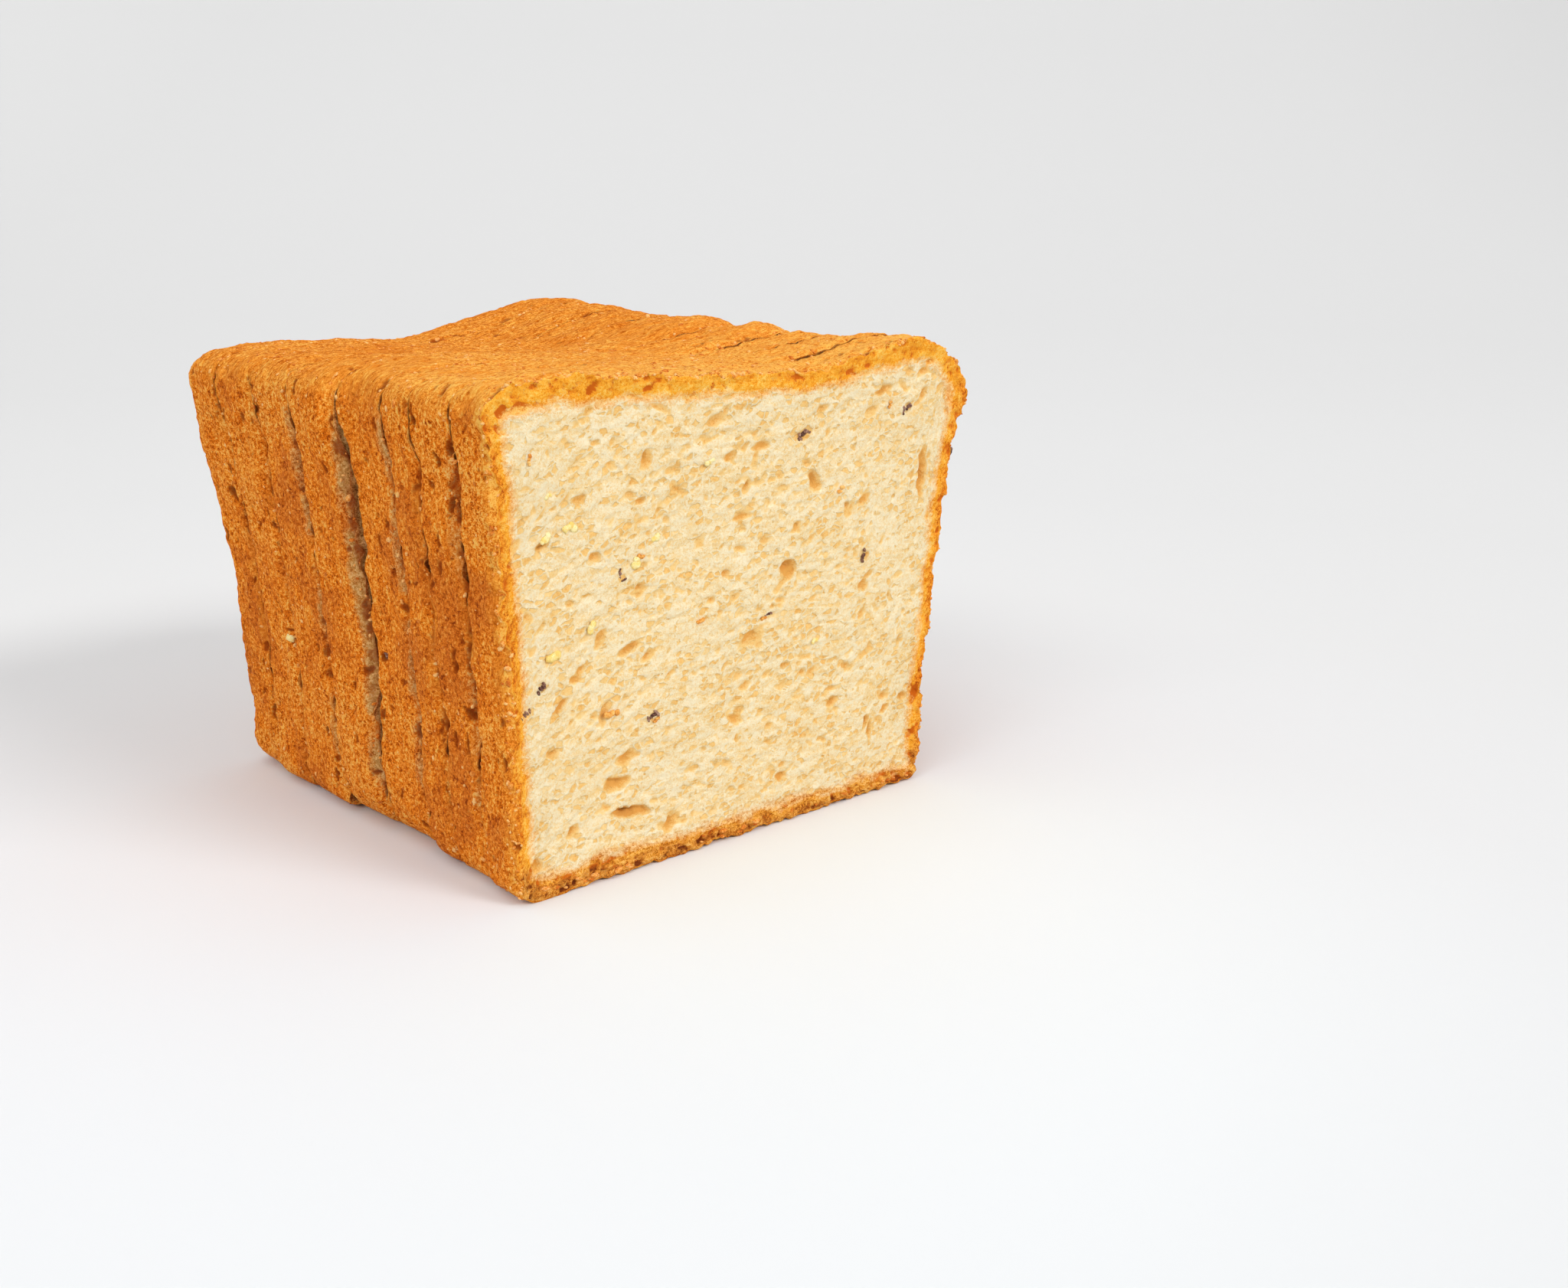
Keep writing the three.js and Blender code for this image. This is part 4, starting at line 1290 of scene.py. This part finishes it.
def crust_material(specks, grain):
    """Baked crust: redder in patches on the sides, golden on top, bare crumb in the grooves painted
    in shade colours, and painted shade in the pits and along the grooves."""
    material, tree, place = new_material("baked_crust")
    grit = use(tree, grain, place, Cells=1300.0)
    tone, (golden, fibre, blotches, patches), relief = crust_tone(tree, place, grit, specks)
    reddish = summed(tree, patches, [(grit, 0.75, 0.12), (blotches, 0.5, 0.25)])
    side, red, top = (ramp(tree, tone, look) for look in (SIDE_CRUST, RED_CRUST, TOP_CRUST))
    side = blend(tree, span(tree, reddish, 0.48, 0.38, 0.0, 0.8), side, red)
    base = blend(tree, golden, side, top)
    # Bare crumb in the grooves, painted in shade colours.
    bevel = attribute(tree, "bevel")
    bare = summed(tree, bevel, [(grit, 0.75, 1.6), (blotches, 0.5, 1.0)])
    bare = times(tree, span(tree, bare, 0.1, 0.85), span(tree, bevel, 0.02, 0.3))
    bare_tone = summed(tree, 0.55, [(grit, 0.75, 2.4), (fibre, 0.5, 1.2)])
    base = blend(tree, bare, base, ramp(tree, bare_tone, SHADED_BARE_CUT))
    # Painted shade: dark brown in the pits and grooves, near black where they are deepest.
    pit = summed(tree, attribute(tree, "pit"), [(grit, 0.75, 0.5)])
    base = blend(tree, span(tree, pit, 0.15, 0.5, 0.0, 0.8), base, CRUST_PIT)
    base = blend(tree, span(tree, pit, 0.6, 1.1, 0.0, 0.6), base, DEEP_PIT)
    roughness = span(tree, tone, 0.2, 0.8, 0.9, 0.7)
    return dress(material, base, roughness, 0.06, (summed(tree, grit, relief), 0.6, 0.0007))


def crumb_band(tree, hollow, baked, inward, fine, tone):
    """The cut face's rim: gold, then brown outward, browner at the base, torn pits in painted shade."""
    outer = span(tree, inward, 2.8, 0.9, 0.2, 1.0)
    outer = times(tree, outer, span(tree, baked, 0.82, 0.98, 1.0, 0.2))
    rim = blend(tree, outer, ramp(tree, tone, BAND_INNER), ramp(tree, tone, BAND_OUTER))
    at_base = span(tree, baked, 0.8, 0.45)
    browned = times(tree, at_base, span(tree, inward, 3.8, 1.7, 0.45, 1.0))
    rim = blend(tree, browned, rim, ramp(tree, tone, BASE_CRUST))
    # Torn pits in painted shade, darkest along the base's outer edge.
    torn = summed(tree, hollow, [(fine, 0.75, 0.8), (at_base, 0.0, 0.08)])
    torn = times(tree, span(tree, torn, 0.20, 0.36), span(tree, inward, 4.6, 3.4))
    base_pit_shade = times(tree, at_base, span(tree, inward, 2.9, 1.5))
    return blend(tree, torn, rim, blend(tree, base_pit_shade, BAND_PIT, BASE_PIT))


def crumb_material(specks, grain, strands, bubbles):
    """Open crumb: cream strands, tan pores in painted shade, then gold and brown towards the crust."""
    material, tree, place = new_material("open_crumb")
    flow = attribute(tree, "flow", vector=True)
    fine = use(tree, grain, place, Cells=1700.0)
    drawn = use(tree, strands, place, Doubled=flow, Length=0.0044, Width=0.0011)
    clouds = speckle(tree, place, 150.0, 4.0, 0.6)
    hollow, depth = attribute(tree, "hollow"), attribute(tree, "crumb_depth")
    cells = use(tree, bubbles, place, Doubled=flow, Length=0.0021, Width=0.0012, Share=0.55)
    cells = times(tree, cells, span(tree, depth, 3.0, 6.0))
    # Painted warm shade: the deeper a pore or bubble, the tanner and darker its colour.
    frayed = span(tree, summed(tree, hollow, [(fine, 0.75, 0.5), (drawn, 0.5, 0.5)]), 0.24, 0.38)
    pores = times(tree, frayed, span(tree, hollow, 0.2, 1.3, 0.4, 1.0))
    pores = calc(tree, "MAXIMUM", pores, times(tree, cells, 0.65))
    calm = span(tree, pores, 0.0, 0.5, 1.0, 0.45)
    drift = summed(tree, 0.0, [(drawn, 0.5, 2.5), (fine, 0.75, 2.1), (clouds, 0.5, 0.6)])
    tone = calc(tree, "MULTIPLY_ADD", drift, calm, 0.815)
    base = ramp(tree, summed(tree, tone, [(pores, 0.0, -0.95)]), CRUMB)
    dots = use(tree, specks, place, Cells=210.0, Share=0.07, Radius=0.055)
    base = blend(tree, dots, base, DARK_SPECK)
    inward = summed(tree, depth, [(clouds, 0.5, 4.0), (fine, 0.75, 3.0), (drawn, 0.5, 3.0)])
    tone = summed(tree, 0.5, [(fine, 0.75, 2.6), (drawn, 0.5, 2.4), (clouds, 0.5, 1.0)])
    rim = crumb_band(tree, hollow, attribute(tree, "golden"), inward, fine, tone)
    band = blend(tree, span(tree, inward, 6.2, 3.4), base, rim)
    # Near the rim of a hidden cut face: bare crumb in painted shade, then crust.
    bare_tone = summed(tree, 0.5, [(fine, 0.75, 3.2), (drawn, 0.5, 2.0), (clouds, 0.5, 1.0)])
    bare = blend(tree, span(tree, inward, 7.0, 3.0), base, ramp(tree, bare_tone, SHADED_BARE_CUT))
    bare = blend(tree, span(tree, inward, 2.2, 0.2, 0.0, 0.45), bare, ramp(tree, tone, RED_CRUST))
    height = summed(tree, 0.5, [(fine, 0.75, 0.9), (drawn, 0.5, 1.3)])
    height = summed(tree, times(tree, height, calm), [(cells, 0.0, -0.5)])
    colour = blend(tree, attribute(tree, "bevel"), band, bare)
    return dress(material, colour, 0.85, 0.15, (height, 0.6, 0.0006))


def fleck_material(name, stops, roughness, grain):
    """A bit's own tone, made uneven by grain, from its dark to its light colour."""
    material, tree, place = new_material(name)
    grit = use(tree, grain, place, Cells=1900.0)
    tone = summed(tree, attribute(tree, "hollow"), [(grit, 0.75, 2.2)])
    return dress(material, ramp(tree, tone, stops), roughness, 0.25, (grit, 0.5, 0.0004))


# ---------------------------------------------------------------- stage, light and camera


FLAT_FLOOR, FLOOR_RADIUS, FLOOR_CURVE = 0.9, 5.0, 0.16  # metres, metres, rise to the metre squared
# Painted light on the floor: the side it is lighter towards, the place its grey is measured from, and
# its reach.
FLOOR_TILT_TOWARD, FLOOR_SHIFT, FLOOR_REACH = (0.73, -0.69, 0), (0.07, 0.1, 0), 4.0


def floor():
    """A wide round floor that curves up far behind: flat out to 0.9 m, then a parabola."""
    rings, turns = 60, 96
    radius = [np.linspace(0.02, FLAT_FLOOR, 20), np.linspace(1.0, FLOOR_RADIUS, rings - 20)]
    radius = np.concatenate(radius)
    height = FLOOR_CURVE * np.maximum(radius - FLAT_FLOOR, 0) ** 2
    angle = np.linspace(0, 2 * np.pi, turns, endpoint=False)
    x, y = radius[:, None] * np.cos(angle), radius[:, None] * np.sin(angle)
    points = np.stack([x, y, np.broadcast_to(height[:, None], x.shape)], -1).reshape(-1, 3)
    numbers = np.arange(len(points)).reshape(rings, turns)
    turn = np.roll(numbers, -1, 1)
    faces = np.stack([numbers[:-1], numbers[1:], turn[1:], turn[:-1]], -1).reshape(-1, 4).tolist()
    mesh = bpy.data.meshes.new("floor")
    mesh.from_pydata(points, [], faces + [numbers[0].tolist()], shade_flat=False)
    mesh.materials.append(floor_material())
    place_in_scene("floor", mesh)


def floor_material():
    """Matt white with painted light: greyer away from a place beside the loaf, lighter towards one side.
    """
    material, tree, place = new_material("pale_floor")
    sideways = calc_vector(tree, "DOT_PRODUCT", place, FLOOR_TILT_TOWARD)[1]
    painted_side_light = span(tree, sideways, -0.9, 0.9, 0.91, 1.09)
    place = node(tree, "ShaderNodeMapping", {"Vector": place, "Location": FLOOR_SHIFT}).outputs[0]
    far = span(tree, calc_vector(tree, "LENGTH", place)[1], 0.0, FLOOR_REACH)
    return dress(material, blend(tree, 1.0, ramp(tree, far, FLOOR_WITH_PAINTED_LIGHT), painted_side_light, "MULTIPLY"), 0.9, 0.0)


def soft_light(name, toward, strength, spread_degrees):
    """A far, wide light that shines from the given direction."""
    light = bpy.data.lights.new(name, "SUN")
    light.energy, light.angle = strength, math.radians(spread_degrees)
    back = np.array(toward) / np.linalg.norm(toward)
    right = np.cross((0, 0, 1), back)
    right /= np.linalg.norm(right)
    rise = np.cross(back, right)
    place_in_scene(name, light).matrix_world = axes_matrix(right, rise, back, back)


def axes_matrix(right, up, back, place):
    rows = np.column_stack([right, up, back, place])
    return Matrix(rows.tolist() + [[0, 0, 0, 1]])


CAMERA_PLACE = (-0.20887, -0.29095, 0.12508)
SENSOR_WIDTH, LENS = 36.0, 35.13  # mm
CAMERA_YAW, CAMERA_PITCH, CAMERA_ROLL = (math.radians(a) for a in (43.40, 14.78, 0.87))


def camera():
    """A camera turned by yaw, pitched down and rolled, with the axes worked out by hand."""
    cy, sy, cp, sp = (f(a) for a in (CAMERA_YAW, CAMERA_PITCH) for f in (math.cos, math.sin))
    forward = np.array([sy * cp, cy * cp, -sp])
    level = np.array([cy, -sy, 0.0])
    rise = np.cross(level, forward)
    cr, sr = math.cos(CAMERA_ROLL), math.sin(CAMERA_ROLL)
    data = bpy.data.cameras.new("camera")
    data.sensor_width, data.sensor_fit, data.lens = SENSOR_WIDTH, "HORIZONTAL", LENS
    data.clip_start, data.clip_end = 0.01, 50.0
    eye = place_in_scene("camera", data)
    eye.matrix_world = axes_matrix(
        cr * level + sr * rise, cr * rise - sr * level, -forward, CAMERA_PLACE
    )
    bpy.context.scene.camera = eye


# Name, direction of the light, strength and spread in degrees.
LIGHTS = [
    ("front_light", (0.5, -1.5, 0.7), 4.55, 30),
    ("overhead", (-0.35, 0.1, 1.0), 0.25, 40),
    ("left_fill", (-1.3, -0.5, 0.5), 2.6, 50),
]
SKY_STRENGTH = 0.8
SEED_OF_DRAWS = 20


def light_the_stage():
    world = bpy.data.worlds.new("studio")
    bpy.context.scene.world = world
    world.use_nodes = True
    back = world.node_tree.nodes["Background"]
    back.inputs["Color"].default_value = (1, 1, 1, 1)
    back.inputs["Strength"].default_value = SKY_STRENGTH
    for light in LIGHTS:
        soft_light(*light)


def main():
    rng = np.random.default_rng(SEED_OF_DRAWS)
    crumb, pits = crumb_field(rng), crust_field(rng)
    specks, grain = specks_group(), grain_group()
    crumb_look = crumb_material(specks, grain, strands_group(), bubbles_group())
    materials = [crust_material(specks, grain), crumb_look]
    grids = [build_slice(index, crumb, pits, materials) for index in range(len(SLICES))]
    looks = [("seed_husk", SEED_HUSK, 0.55), ("yellow_bit", YELLOW_BIT, 0.5),
             ("orange_bit", ORANGE_BIT, 0.6), ("crust_bit", CRUST_BIT, 0.75)]
    build_flecks(grids, crumb, rng, [fleck_material(*look, grain) for look in looks])
    floor()
    camera()
    light_the_stage()
    bpy.context.scene.view_settings.view_transform = "Standard"


main()
